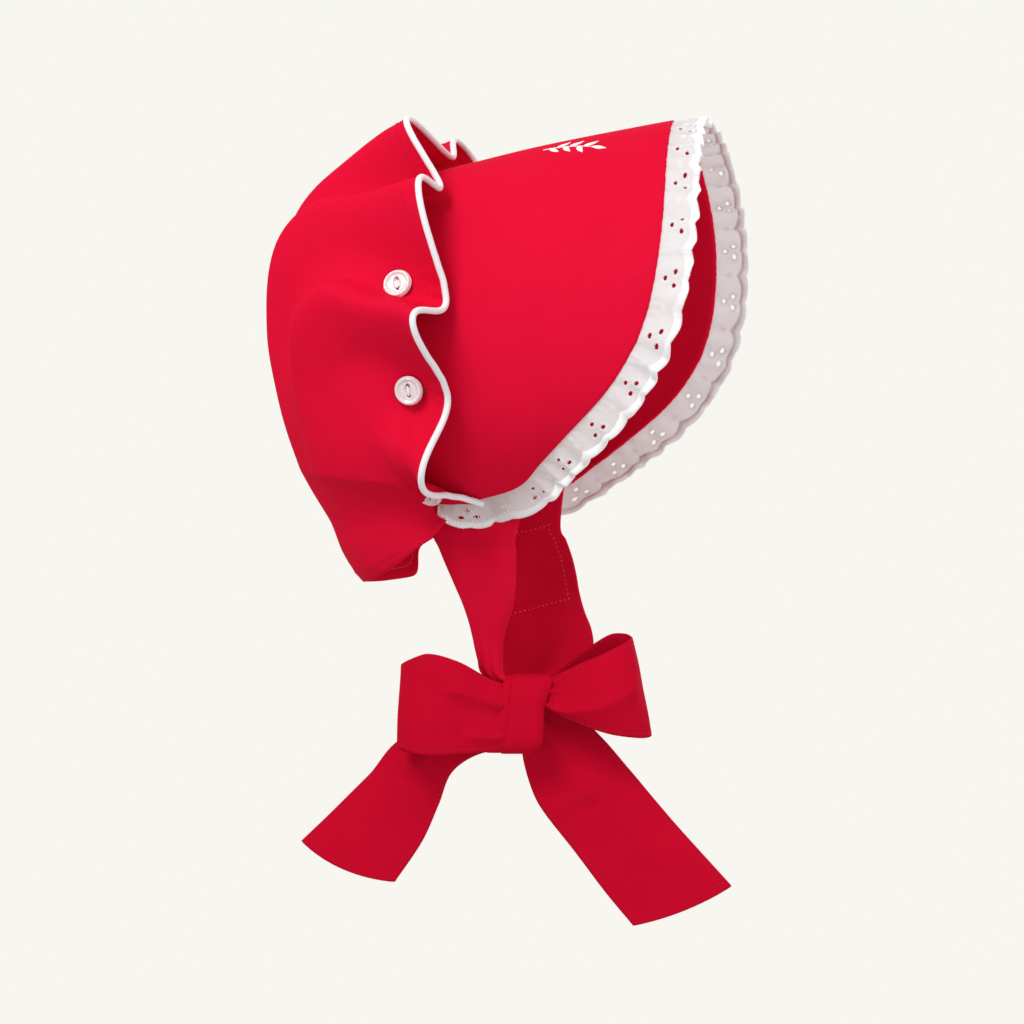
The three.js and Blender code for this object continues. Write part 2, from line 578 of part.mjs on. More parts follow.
// A place on the brim's outer edge, from its right lower end (-1) over the top to the left one (1).
function brimEdge(place) {
  const turn = Math.min(Math.abs(place) / LACE_FRONT_SHARE, 1);
  const back = Math.max((Math.abs(place) - LACE_FRONT_SHARE) / (1 - LACE_FRONT_SHARE), 0);
  return brimPoint(Math.sign(place) * turn, ribLength(turn) * (1 - back));
}

function edgeFrame(place) {
  const step = 0.02;
  const point = brimEdge(place);
  const along = brimEdge(Math.min(place + step, 1)).sub(brimEdge(Math.max(place - step, -1))).normalize();
  const below = point.z < SEAM_MIDDLE ? LACE_HANG * (1 - Math.abs(place) ** END_SHARPNESS) : 1;
  const outward = new THREE.Vector3(point.x, 0, (point.z - SEAM_MIDDLE) * below).normalize();
  const away = along.cross(outward).normalize();
  return { point, away, outward };
}

function lacePoint(place, share) {
  const { point, away, outward } = edgeFrame(place);
  const phase = place * LACE_GROUPS * Math.PI;
  const scallop = LACE_SCALLOP * Math.abs(Math.cos(phase / 2)) * share ** 4;
  const end = Math.abs(place) ** END_SHARPNESS;
  const fullness = (LACE_RIPPLE_AT_SEAM + (1 - LACE_RIPPLE_AT_SEAM) * share) * (1 - LACE_END_CALM * end);
  const ripple = LACE_RIPPLE * Math.sin(2 * phase) * fullness;
  const depth = LACE_DEPTH * (1 - LACE_END_NARROWING * end) - LACE_SCALLOP;
  point.addScaledVector(away, GAP + depth * share + scallop);
  return point.addScaledVector(outward, ripple - BRIM_WALL / 2 + LACE_WALL / 2);
}

// Three eyelets in a triangle pierce the lace at each group.
function eyeletDrills() {
  const drills = [];
  for (let group = 0; group < LACE_GROUPS; group += 1) {
    const place = (2 * (group + 0.5)) / LACE_GROUPS - 1;
    const { point, away, outward } = edgeFrame(place);
    const along = outward.clone().cross(away);
    const basis = new THREE.Matrix4().makeBasis(along, outward, away);
    for (let eyelet = 0; eyelet < 3; eyelet += 1) {
      const angle = (2 * Math.PI * eyelet) / 3;
      const drill = new THREE.CylinderGeometry(EYELET_DIAMETER / 2, EYELET_DIAMETER / 2, 4 * LACE_RIPPLE, 5);
      const reach = LACE_DEPTH * EYELET_PLACE + (EYELET_SPREAD / 2) * Math.cos(angle);
      drill.translate((EYELET_SPREAD / 2) * Math.sin(angle), 0, reach);
      drill.applyMatrix4(basis);
      drill.translate(point.x, point.y, point.z);
      drills.push(drill);
    }
  }
  return drills;
}

function laceShape() {
  const places = evenly(-1, 1, LACE_GROUPS * 5);
  return cutAway(clothWall(gridOf([0, 1], places, lacePoint), LACE_WALL, 1), eyeletDrills());
}

// A sewn button: a dished face inside a raised rim, two thread holes and the thread shank under it.
function buttonShape(shank) {
  const radius = BUTTON_DIAMETER / 2;
  const top = shank + BUTTON_THICKNESS;
  const floor = top - BUTTON_DISH;
  const profile = [
    new THREE.Vector2(0, 0),
    new THREE.Vector2(SHANK_DIAMETER / 2, 0),
    new THREE.Vector2(SHANK_DIAMETER / 2, shank),
    new THREE.Vector2(radius, shank),
    new THREE.Vector2(radius, top - BUTTON_DISH),
    new THREE.Vector2(radius - BUTTON_RIM / 2, top),
    new THREE.Vector2(radius - BUTTON_RIM, floor),
    new THREE.Vector2(0, floor),
  ];
  const disc = new THREE.LatheGeometry(profile, 11);
  disc.rotateX(Math.PI / 2);
  const drills = [-1, 1].map((side) => {
    const drill = new THREE.CylinderGeometry(BUTTON_HOLE / 2, BUTTON_HOLE / 2, BUTTON_THICKNESS * 3, 5);
    drill.rotateX(Math.PI / 2);
    drill.translate((side * BUTTON_HOLE_SPACING) / 2, 0, top);
    return drill;
  });
  return cutAway(disc, drills);
}

function plainMaterial({ color, roughness, metalness }) {
  return new THREE.MeshStandardMaterial({ color, roughness, metalness, side: THREE.DoubleSide });
}

function piece(name, geometry, finish) {
  const mesh = new THREE.Mesh(geometry, plainMaterial(finish));
  mesh.name = name;
  return mesh;
}

// Points spread over a facet with four corners, whichever way it is split into triangles.
function facetPoints(corners) {
  const steps = 8;
  const points = [];
  for (const triangle of [[0, 1, 2], [1, 3, 2], [0, 1, 3], [0, 3, 2]]) {
    const [a, b, c] = triangle.map((corner) => corners[corner]);
    for (let first = 0; first <= steps; first += 1) {
      for (let second = 0; first + second <= steps; second += 1) {
        const toward = a.clone().lerp(b, first / steps);
        points.push(toward.addScaledVector(c.clone().sub(a), second / steps));
      }
    }
  }
  return points;
}

// How far the folded crown rises beside a button above the place where the button is sewn on.
function clothRise(point, normal) {
  let highest = 0;
  for (let row = 0; row + 1 < CROWN_GRID.length; row += 1) {
    for (let column = 0; column + 1 < CROWN_GRID[row].length; column += 1) {
      const rows = [CROWN_GRID[row], CROWN_GRID[row + 1]];
      const corners = rows.flatMap((line) => [line[column], line[column + 1]]);
      if (corners[0].distanceTo(point) > 3 * BUTTON_DIAMETER) continue;
      for (const place of facetPoints(corners)) {
        const offset = place.sub(point);
        const height = offset.dot(normal);
        const reach = Math.sqrt(Math.max(offset.lengthSq() - height * height, 0));
        if (reach < BUTTON_DIAMETER / 2 + GAP) highest = Math.max(highest, height);
      }
    }
  }
  return highest;
}

// A button is sewn to the crown at the seam; its shank lifts it clear of the cloth around it.
function buttonAt(name, turn) {
  const step = 0.05;
  const point = crownBase(turn, SEAM_ALONG);
  const across = crownBase(turn + step, SEAM_ALONG).sub(crownBase(turn - step, SEAM_ALONG));
  const back = crownBase(turn, SEAM_ALONG + step).sub(crownBase(turn, SEAM_ALONG - step));
  const normal = across.cross(back).normalize();
  const mesh = piece(name, buttonShape(SHANK_HEIGHT + clothRise(point, normal)), PEARL);
  mesh.quaternion.setFromUnitVectors(new THREE.Vector3(0, 0, 1), normal);
  mesh.position.copy(point).addScaledVector(normal, SHANK_GAP);
  return mesh;
}

// The knot as a stack of rounded sections, grown by a clearance where it cuts what it holds.
function knotShape(grow) {
  const sides = 12;
  const positions = [];
  const faces = [];
  KNOT_SECTIONS.forEach((section, index) => {
    const middle = (KNOT_WIDTH * (section.left + section.right)) / 2;
    const halfWidth = (KNOT_WIDTH * (section.right - section.left)) / 2 + grow;
    const halfDepth = (KNOT_DEPTH * section.depth) / 2 + grow;
    const end = index === 0 ? -grow : index === KNOT_SECTIONS.length - 1 ? grow : 0;
    for (let side = 0; side < sides; side += 1) {
      const angle = (2 * Math.PI * side) / sides;
      positions.push(
        middle + halfWidth * Math.sign(Math.cos(angle)) * Math.abs(Math.cos(angle)) ** KNOT_ROUNDING,
        -halfDepth * Math.sign(Math.sin(angle)) * Math.abs(Math.sin(angle)) ** KNOT_ROUNDING,
        KNOT_HEIGHT * section.up + end,
      );
    }
  });
  for (let index = 0; index + 1 < KNOT_SECTIONS.length; index += 1) {
    for (let side = 0; side < sides; side += 1) {
      const a = index * sides + side;
      const b = index * sides + ((side + 1) % sides);
      faces.push(a, b, b + sides, a, b + sides, a + sides);
    }
  }
  const top = (KNOT_SECTIONS.length - 1) * sides;
  for (let side = 1; side + 1 < sides; side += 1) {
    faces.push(0, side + 1, side);
    faces.push(top, top + side, top + side + 1);
  }
  return closedGeometry(positions, faces);
}

// A flat ribbon between two edges, in the bow's own frame: +X to its right, -Y to its front.
function bowRibbon(rows) {
  const grid = gridOf(evenly(0, 1, 12), evenly(0, 1, 3), (across, at) => {
    const read = (column) => TIE_WIDTH * readRow(rows, "at", at, column);
    const belly = read("belly") * 4 * across * (1 - across);
    return new THREE.Vector3(
      read("oneRight") + (read("otherRight") - read("oneRight")) * across,
      -(read("front") + belly),
      read("oneUp") + (read("otherUp") - read("oneUp")) * across,
    );
  });
  return clothWall(grid, TIE_WALL, 1);
}

// A tie runs from inside the brim's lower end down to the knot. Side is -1 on the right.
function tieGrid(rows, side) {
  const endHalfWidth = SEAM_HALF_WIDTH * Math.sin(ARCH_TURN);
  const inside = BRIM_WALL + GAP;
  const sewn = TIE_SEWN_TURNS.map((turn) => (across) => {
    const ahead = TIE_WIDTH * across;
    const drawnIn = inside + TIE_DRAWN_IN * Math.max(ahead / ribLength(turn) - TIE_FLAT_SHARE, 0);
    return brimPoint(side * turn, ahead).addScaledVector(brimNormal(side * turn, ahead), -drawnIn);
  });
  const hanging = evenly(rows[0].at, 1, 9).map((at) => (across) => {
    const read = (column) => readRow(rows, "at", at, column);
    const out = endHalfWidth * read("out") + TIE_WIDTH * read("belly") * 4 * across * (1 - across);
    const ahead = TIE_WIDTH * (read("back") + (read("front") - read("back")) * across);
    const up = KNOT_DROP * (read("backUp") + (read("frontUp") - read("backUp")) * across);
    return new THREE.Vector3(side * out, -ahead, up);
  });
  return [...sewn, ...hanging].map((pointAt) => evenly(0, 1, 4).map(pointAt));
}

// The bow's group puts its own frame at the knot, turned to face the wearer's right side.
function bowGroup() {
  const group = new THREE.Group();
  group.position.set(0, -KNOT_AHEAD, -KNOT_DROP);
  group.rotation.z = -BOW_TURN;
  return group;
}

function cutByKnot(geometry, group) {
  group.updateMatrix();
  const knot = knotShape(GAP);
  knot.applyMatrix4(group.matrix);
  return cutAway(geometry, [knot]);
}

const bonnet = new THREE.Group();
bonnet.name = "bonnet";
bonnet.add(piece("brim", brimShape(), RED));
bonnet.add(piece("crown", crownShape(), RED));
bonnet.add(piece("crown_piping", pipingShape(), WHITE));
bonnet.add(piece("lace_edging", laceShape(), WHITE));

FASTENINGS.slice(0, -1).forEach(({ turn }, index) => {
  const sides = index === 0 ? [""] : ["_right", "_left"];
  sides.forEach((side) => bonnet.add(buttonAt(`button_${index}${side}`, side === "_right" ? -turn : turn)));
});

const bow = bowGroup();
bonnet.add(piece("tie_right", cutByKnot(clothWall(tieGrid(RIGHT_TIE, -1), TIE_WALL, -1), bow), RED));
bonnet.add(piece("tie_left", cutByKnot(clothWall(tieGrid(LEFT_TIE, 1), TIE_WALL, 1), bow), RED));
bow.add(piece("bow_knot", knotShape(0), RED));
const ribbons = { bow_loop_left: LEFT_LOOP, bow_loop_right: RIGHT_LOOP, tail_left: LEFT_TAIL, tail_right: RIGHT_TAIL };
Object.entries(ribbons).forEach(([name, rows]) => {
  bow.add(piece(name, cutAway(bowRibbon(rows), [knotShape(GAP)]), RED));
});
bonnet.add(bow);

const seat = brimPoint(0, frontPoint(0).distanceTo(seamPoint(0)) - SEAT_BEHIND_FRONT);
bonnet.position.set(0, -seat.y, -seat.z + BRIM_WALL);

export default bonnet;
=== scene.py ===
"""A child's red cotton sun bonnet with white trims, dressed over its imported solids.

Shapes are worked out in millimetres from the lower ends of the seam between brim and crown, then
placed so that the origin is where the head bears on the inside of the brim's top. The face opening
looks toward -Y and the wearer's right side is toward -X.
"""

import logging
import math
from abc import ABC, abstractmethod
from collections.abc import Callable, Sequence
from dataclasses import dataclass, field
from enum import Enum

import bpy
import numpy as np
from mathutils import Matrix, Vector
from mathutils.geometry import delaunay_2d_cdt


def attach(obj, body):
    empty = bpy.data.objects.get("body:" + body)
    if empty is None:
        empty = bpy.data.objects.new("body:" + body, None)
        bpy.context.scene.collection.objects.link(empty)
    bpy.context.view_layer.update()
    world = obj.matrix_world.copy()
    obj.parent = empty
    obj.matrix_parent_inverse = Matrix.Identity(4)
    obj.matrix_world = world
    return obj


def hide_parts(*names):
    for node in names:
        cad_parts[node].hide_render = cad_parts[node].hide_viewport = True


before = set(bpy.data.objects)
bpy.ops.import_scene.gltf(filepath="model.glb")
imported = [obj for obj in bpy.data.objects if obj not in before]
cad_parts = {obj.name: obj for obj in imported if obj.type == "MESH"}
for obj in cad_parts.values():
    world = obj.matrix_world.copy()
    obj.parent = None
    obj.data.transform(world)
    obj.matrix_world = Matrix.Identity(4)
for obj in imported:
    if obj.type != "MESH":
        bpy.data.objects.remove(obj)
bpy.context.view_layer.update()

logging.basicConfig(level=logging.INFO, format="%(message)s")
log = logging.getLogger("bonnet")

MILLIMETRE = 0.001
DEGREE = math.pi / 180
BODY = "root"
# How far a cloth's edge bulges out, as a share of its wall.
EDGE_ROUNDING = 0.42
# The rings of points in a cord's rounded end.
CAP_RINGS = 4
# What changes toward the bonnet's two lower ends follows the place along it to this power.
END_SHARPNESS = 8
# The gap between two sewn cloths, in millimetres.
CLOTH_GAP = 0.45
# The step along the seam over which normals are taken.
TURN_STEP = 0.002

Array = np.ndarray
Colour = tuple[float, float, float]


def unit(vectors: Array) -> Array:
    """Gives vectors along the last axis a length of one."""
    return vectors / np.maximum(np.linalg.norm(vectors, axis=-1, keepdims=True), 1e-9)


def linear(red: int, green: int, blue: int) -> Colour:
    """Turns a screen colour, 0 to 255, into the linear one that shaders use."""
    shares = [channel / 255 for channel in (red, green, blue)]
    return tuple(s / 12.92 if s <= 0.04045 else ((s + 0.055) / 1.055) ** 2.4 for s in shares)


def soft_waves(points: Array, wavelength: float, seed: int, count: int = 10) -> Array:
    """A smooth random height over space, made of a few waves in random directions.

    Args:
        points: Places in millimetres, along the last axis.
        wavelength: The usual distance from crest to crest, in millimetres.
        seed: Fixes the directions and phases.
        count: How many waves are added.

    Returns:
        A height of about -1 to 1 for each place.
    """
    random = np.random.default_rng(seed)
    directions = unit(random.normal(size=(count, 3)))
    lengths = wavelength * random.uniform(0.7, 1.6, count)
    phases = random.uniform(0, 2 * math.pi, count)
    turns = points @ (directions / lengths[:, None]).T * 2 * math.pi + phases
    return np.sin(turns).sum(axis=-1) / math.sqrt(2 * count)


def bump_at(distance: Array, width: float) -> Array:
    """A rounded hump, 1 high at its middle and about a third of that at its width."""
    return np.exp(-((distance / width) ** 2))


def cubic(start: Array, end: Array, leaving: Array, arriving: Array, share: Array) -> Array:
    """A smooth curve between two values.

    Args:
        start: The first value.
        end: The last value.
        leaving: The slope at the start.
        arriving: The slope at the end.
        share: How far along the curve to read.

    Returns:
        The curve's value.
    """
    rise = end - start
    bend = 3 * rise - 2 * leaving - arriving
    turn = leaving + arriving - 2 * rise
    return start + share * (leaving + share * (bend + share * turn))


@dataclass(frozen=True)
class Rows:
    """A short table of named columns, read as smooth curves."""

    columns: str
    rows: tuple[tuple[float, ...], ...]

    def names(self) -> list[str]:
        """The columns' names."""
        return self.columns.split()

    def read(self, at: Array, column: str) -> Array:
        """Reads a column, smoothed by a cubic through its rows.

        Args:
            at: Where to read, in the unit of the first column.
            column: The column's name.

        Returns:
            The column's value at each place.
        """
        table = np.array(self.rows, float)
        keys = table[:, 0]
        values = table[:, self.names().index(column)]
        last = len(keys) - 1
        index = np.searchsorted(keys[1:last], at, side="left")
        before = np.maximum(index - 1, 0)
        after = np.minimum(index + 2, last)
        span = keys[index + 1] - keys[index]
        share = (at - keys[index]) / span
        leaving = (values[index + 1] - values[before]) / (keys[index + 1] - keys[before]) * span
        arriving = (values[after] - values[index]) / (keys[after] - keys[index]) * span
        return cubic(values[index], values[index + 1], leaving, arriving, share)


def arch(turn: Array, half_width: Array, middle: Array, rise: Array, drop: Array) -> tuple[Array, Array]:
    """How far out and up half an arch is, from its top past its widest place in the middle."""
    cosine = np.cos(turn)
    return half_width * np.sin(turn), middle + np.where(cosine > 0, rise, drop) * cosine


def grid_normals(grid: Array) -> Array:
    """The normal of each point of a grid, across the columns and then down the rows."""
    return unit(np.cross(np.gradient(grid, axis=1), np.gradient(grid, axis=0)))


def on_grid(grid: Array, line: Array) -> Array:
    """Reads a grid along a line of fractional rows and columns.

    Args:
        grid: Rows and columns of vectors.
        line: The line's rows and columns.

    Returns:
        The vectors along the line.
    """
    cell = np.floor(line).astype(int)
    down, across = (line - cell).T[:, :, None]
    row, column = cell.T
    near = grid[row, column] * (1 - across) + grid[row, column + 1] * across
    far = grid[row + 1, column] * (1 - across) + grid[row + 1, column + 1] * across
    return near * (1 - down) + far * down


def circle(count: int, radius: float) -> Array:
    """Corners at even steps round a circle, in a plane."""
    angles = np.linspace(0, 2 * math.pi, count, endpoint=False)
    return radius * np.stack([np.cos(angles), np.sin(angles)], axis=1)


def tube_faces(rings: int, sides: int) -> list[list[int]]:
    """The faces of a tube whose points lie in rings, and of its two ends.

    Args:
        rings: How many rings it has.
        sides: How many points each ring has.

    Returns:
        The corner numbers of each face.
    """
    numbers = np.arange(rings * sides).reshape(rings, sides)
    beside = np.roll(numbers, -1, axis=1)
    quads = np.stack([numbers[:-1], beside[:-1], beside[1:], numbers[1:]], axis=-1).reshape(-1, 4)
    return [*quads.tolist(), numbers[0, ::-1].tolist(), numbers[-1].tolist()]


def add_object(name: str, data: bpy.types.ID) -> bpy.types.Object:
    """Adds an object that shows this data to the scene."""
    made = bpy.data.objects.new(name, data)
    bpy.context.scene.collection.objects.link(made)
    return made


def look_along(thing: bpy.types.Object, way: Vector) -> None:
    """Turns a camera or a light to look along a direction."""
    thing.rotation_mode = "QUATERNION"
    thing.rotation_quaternion = way.to_track_quat("-Z", "Y")


def smooth_rows(grid: Array, count: int) -> Array:
    """Adds rows between a grid's rows, on smooth curves through them.

    Args:
        grid: Points in rows and columns.
        count: How many rows the finer grid has.

    Returns:
        The finer grid.
    """
    last = len(grid) - 1
    at = np.linspace(0, last, count)
    index = np.minimum(at.astype(int), last - 1)
    share = (at - index)[:, None, None]
    slopes = np.gradient(grid, axis=0)
    return cubic(grid[index], grid[index + 1], slopes[index], slopes[index + 1], share)


class Value:
    """A number in a shader or geometry tree that Python's operators work on."""

    def __init__(self, tree: "Tree", socket: bpy.types.NodeSocket) -> None:
        """Keeps the tree and the socket that gives the number."""
        self.tree = tree
        self.socket = socket

    def math(self, operation: str, *others: "Value | float", swapped: bool = False) -> "Value":
        """Adds a Math node.

        Args:
            operation: The node's operation.
            others: The other numbers.
            swapped: Whether this number comes second.

        Returns:
            The node's result.
        """
        terms = [self, *others]
        if swapped:
            terms.reverse()
        node = self.tree.node("ShaderNodeMath", {"operation": operation}, dict(enumerate(terms)))
        return Value(self.tree, node.outputs[0])

    def __add__(self, other: "Value | float") -> "Value":
        """Adds."""
        return self.math("ADD", other)

    def __radd__(self, other: float) -> "Value":
        """Adds to a plain number."""
        return self.math("ADD", other)

    def __sub__(self, other: "Value | float") -> "Value":
        """Subtracts."""
        return self.math("SUBTRACT", other)

    def __rsub__(self, other: float) -> "Value":
        """Subtracts from a plain number."""
        return self.math("SUBTRACT", other, swapped=True)

    def __mul__(self, other: "Value | float") -> "Value":
        """Multiplies."""
        return self.math("MULTIPLY", other)

    def __rmul__(self, other: float) -> "Value":
        """Multiplies a plain number."""
        return self.math("MULTIPLY", other)

    def __pow__(self, other: float) -> "Value":
        """Raises to a power."""
        return self.math("POWER", other)

    def sine(self) -> "Value":
        """The sine."""
        return self.math("SINE")

    def size(self) -> "Value":
        """The absolute value."""
        return self.math("ABSOLUTE")

    def sign(self) -> "Value":
        """Minus one, nought or one."""
        return self.math("SIGN")


class Tree:
    """A node tree that is built by Python expressions."""

    def __init__(self, tree: bpy.types.NodeTree) -> None:
        """Wraps a node tree."""
        self.tree = tree

    def node(self, kind: str, settings: dict | None = None, inputs: dict | None = None) -> bpy.types.Node:
        """Adds any node.

        Args:
            kind: The node's type.
            settings: Its properties, such as a Math node's operation, set first.
            inputs: Values or links of its sockets, by name or number.

        Returns:
            The node.
        """
        node = self.tree.nodes.new(kind)
        for name, value in (settings or {}).items():
            setattr(node, name, value)
        for key, value in (inputs or {}).items():
            socket = node.inputs[key]
            if isinstance(value, Value):
                value = value.socket
            if isinstance(value, bpy.types.NodeSocket):
                self.tree.links.new(value, socket)
            else:
                socket.default_value = value
        return node

    def value(
        self,
        kind: str,
        settings: dict | None = None,
        inputs: dict | None = None,
        output: str | int = 0,
    ) -> Value:
        """Adds a node and wraps one of its outputs."""
        return Value(self, self.node(kind, settings, inputs).outputs[output])

    def mixed(self, factor: "Value | float", first: "Value | Colour", second: "Value | Colour") -> Value:
        """Mixes two colours.

        Args:
            factor: The share of the second colour.
            first: The first colour.
            second: The second colour.

        Returns:
            The mixed colour.
        """
        ends = {
            key: (*colour, 1) if isinstance(colour, tuple) else colour
            for key, colour in ((6, first), (7, second))
        }
        node = self.node("ShaderNodeMix", {"data_type": "RGBA"}, {0: factor, **ends})
        return Value(self, node.outputs[2])

    def noise(self, vector: "Value", scale: float, detail: float = 2, roughness: float = 0.5) -> Value:
        """Soft noise over space, 0 to 1, with this many patches in a metre."""
        inputs = {"Vector": vector, "Scale": scale, "Detail": detail, "Roughness": roughness}
        return self.value("ShaderNodeTexNoise", None, inputs)

    def bump(self, height: Value, distance: float, below: Value | None = None) -> Value:
        """Turns a height into a normal.

        Args:
            height: The height, 0 to 1.
            distance: The height's scale in metres.
            below: The normal of what lies under it.

        Returns:
            The normal.
        """
        inputs = {"Strength": 1.0, "Distance": distance, "Height": height}
        if below is not None:
            inputs["Normal"] = below
        return self.value("ShaderNodeBump", None, inputs)


class Finish(ABC):
    """What a piece's surface looks like."""

    name: str

    def material(self) -> bpy.types.Material:
        """The finish as a material, made once.

        Returns:
            The material.
        """
        found = bpy.data.materials.get(self.name)
        if found:
            return found
        made = bpy.data.materials.new(self.name)
        made.use_nodes = True
        made.node_tree.nodes.clear()
        tree = Tree(made.node_tree)
        surface = self.surface(tree)
        tree.node("ShaderNodeOutputMaterial", None, {"Surface": surface.outputs[0]})
        return made

    @abstractmethod
    def surface(self, tree: Tree) -> bpy.types.Node:
        """Builds the surface's shader.

        Args:
            tree: The material's tree.

        Returns:
            The shader node.
        """


@dataclass(frozen=True)
class Cotton(Finish):
    """Plain woven cotton. Its threads follow the piece's own cloth coordinates."""

    name: str
    colour: Colour
    shade: Colour
    pitch: float = 0.00055
    relief: float = 0.00006
    crumple: float = 0.0006
    roughness: float = 0.78
    opacity: float = 1.0
    translucency: float = 0.0

    def surface(self, tree: Tree) -> bpy.types.Node:
        """Weave, slubs and soft crumples over two close shades of the colour."""
        laid = tree.node("ShaderNodeUVMap", {"uv_map": "cloth"}).outputs[0]
        places = tree.node("ShaderNodeTexCoord").outputs["Object"]
        parts = tree.node("ShaderNodeSeparateXYZ", None, {0: laid})
        turns = 2 * math.pi / self.pitch
        warp = (Value(tree, parts.outputs[0]) * turns).sine()
        weft = (Value(tree, parts.outputs[1]) * turns).sine()
        weave = warp * weft * 0.5 + 0.5
        stretched = tree.node("ShaderNodeMapping", None, {"Vector": laid, "Scale": (1, 0.12, 1)})
        slubs = tree.noise(stretched.outputs[0], 1400, 1)
        patches = tree.noise(places, 45, 3)
        shade = (1 - weave) * 0.22 + slubs * 0.3 + patches * 0.3
        colour = tree.mixed(shade, self.colour, self.shade)
        crumples = tree.bump(tree.noise(places, 70, 3, 0.45), self.crumple)
        normal = tree.bump(weave * 0.7 + slubs * 0.3, self.relief, crumples)
        cloth = tree.node(
            "ShaderNodeBsdfPrincipled",
            None,
            {
                "Base Color": colour,
                "Roughness": self.roughness,
                "Specular IOR Level": 0.02,
                "Alpha": self.opacity,
                "Normal": normal,
            },
        )
        if not self.translucency:
            return cloth
        glow = tree.node("ShaderNodeBsdfTranslucent", None, {"Color": (*self.colour, 1)})
        inputs = {0: self.translucency, 1: cloth.outputs[0], 2: glow.outputs[0]}
        return tree.node("ShaderNodeMixShader", None, inputs)


@dataclass(frozen=True)
class Thread(Finish):
    """Twisted sewing or embroidery thread."""

    name: str
    colour: Colour
    shade: Colour
    roughness: float = 0.6

    def surface(self, tree: Tree) -> bpy.types.Node:
        """Fine fibres over two close shades of the colour."""
        places = tree.node("ShaderNodeTexCoord").outputs["Object"]
        fibres = tree.noise(places, 2600, 2)
        colour = tree.mixed(fibres * 0.6, self.colour, self.shade)
        return tree.node(
            "ShaderNodeBsdfPrincipled",
            None,
            {
                "Base Color": colour,
                "Roughness": self.roughness,
                "Specular IOR Level": 0.3,
                "Normal": tree.bump(fibres, 0.00005),
            },
        )


@dataclass(frozen=True)
class Pearl(Finish):
    """Polished mother of pearl, clouded with faint cool bands and pink ones; the pink is partly the shell's
    own tint and partly painted light, the red cloth seen through the pearl.
    """

    name: str = "mother_of_pearl"
    colour: Colour = linear(236, 226, 226)
    # Pink tint, partly painted light: the red cloth's glow showing through the translucent pearl.
    pink_and_red_show_through: Colour = linear(226, 190, 194)
    cool: Colour = linear(226, 230, 234)

    def surface(self, tree: Tree) -> bpy.types.Node:
        """Cloudy bands under a clear polish."""
        places = tree.node("ShaderNodeTexCoord").outputs["Object"]
        cloud = tree.noise(places, 160, 3)
        bands = (cloud * 40).sine() * 0.5 + 0.5
        tint = tree.mixed(bands, self.pink_and_red_show_through, self.cool)
        colour = tree.mixed(0.35 + cloud * 0.3, self.colour, tint)
        return tree.node(
            "ShaderNodeBsdfPrincipled",
            None,
            {
                "Base Color": colour,
                "Roughness": 0.16 + cloud * 0.1,
                "Coat Weight": 0.5,
                "Coat Roughness": 0.08,
                "Normal": tree.bump(cloud, 0.0001),
            },
        )


@dataclass(frozen=True)
class Paper(Finish):
    """The plain pale studio paper under and behind the bonnet."""

    name: str = "studio_paper"
    colour: Colour = linear(247, 246, 240)

    def surface(self, tree: Tree) -> bpy.types.Node:
        """An even pale tone."""
        return tree.node("ShaderNodeEmission", None, {"Color": (*self.colour, 1), "Strength": 1.0})


class Finishes(Enum):
    """The bonnet's finishes."""

    RED_COTTON = Cotton("red_poplin", linear(228, 19, 58), linear(204, 8, 42))
    # Painted shade: the ties' red cotton painted darker for the bow, which hangs low and farther from the
    # key light.
    SHADED_BOW_COTTON = Cotton("bow_poplin_painted_shade", linear(203, 12, 47), linear(179, 4, 33))
    WHITE_PIPING = Cotton(
        "white_piping",
        linear(243, 243, 246),
        linear(226, 227, 234),
        pitch=0.0005,
        crumple=0.0002,
    )
    EYELET_CLOTH = Cotton(
        "eyelet_cloth",
        linear(248, 247, 248),
        linear(234, 232, 235),
        pitch=0.0005,
        crumple=0.0005,
        opacity=0.9,
        translucency=0.45,
    )
    WHITE_THREAD = Thread("white_thread", linear(254, 254, 255), linear(248, 248, 250))
    RED_THREAD = Thread("red_thread", linear(196, 8, 42), linear(160, 3, 28))
    PALE_THREAD = Thread("pale_thread", linear(232, 128, 132), linear(214, 96, 104))
    PEARL = Pearl()
    PAPER = Paper()


@dataclass(frozen=True)
class Slot:
    """The names of the record's material slots."""

    red: str = "red_cotton"
    white: str = "white_cotton"
    pearl: str = "pearl"


SLOT = Slot()


@dataclass
class Surface:
    """Points, faces and cloth coordinates that become one mesh."""

    points: Array
    faces: list[list[int]]
    cloth: Array

    def mesh(self, name: str, origin: Array) -> bpy.types.Mesh:
        """Makes the mesh, its faces turned outward and smoothly shaded.

        Args:
            name: The mesh's name.
            origin: The row frame's origin among the points.

        Returns:
            The mesh, in metres in the row frame.
        """
        points = (self.points - origin) * MILLIMETRE
        mesh = bpy.data.meshes.new(name)
        mesh.from_pydata(points.tolist(), [], self.faces)
        corners = np.zeros(len(mesh.loops), np.int32)
        mesh.loops.foreach_get("vertex_index", corners)
        layer = mesh.uv_layers.new(name="cloth")
        layer.data.foreach_set("uv", (self.cloth[corners] * MILLIMETRE).astype(np.float32).ravel())
        mesh.calc_loop_triangles()
        triangles = np.zeros(len(mesh.loop_triangles) * 3, np.int32)
        mesh.loop_triangles.foreach_get("vertices", triangles)
        a, b, c = (points[triangles.reshape(-1, 3)[:, k]] for k in range(3))
        if (a * np.cross(b, c)).sum() < 0:
            mesh.flip_normals()
        mesh.shade_smooth()
        return mesh


def cloth_coordinates(grid: Array) -> Array:
    """How far across and along the cloth each point of a grid is.

    Args:
        grid: Points in rows and columns, in millimetres.

    Returns:
        Two lengths for each point.
    """
    across, along = (np.linalg.norm(np.diff(grid, axis=axis), axis=2) for axis in (1, 0))
    u = np.concatenate([[0], np.cumsum(across.mean(axis=0))])
    v = np.concatenate([[0], np.cumsum(along.mean(axis=1))])
    return np.stack(np.meshgrid(u, v), axis=-1)


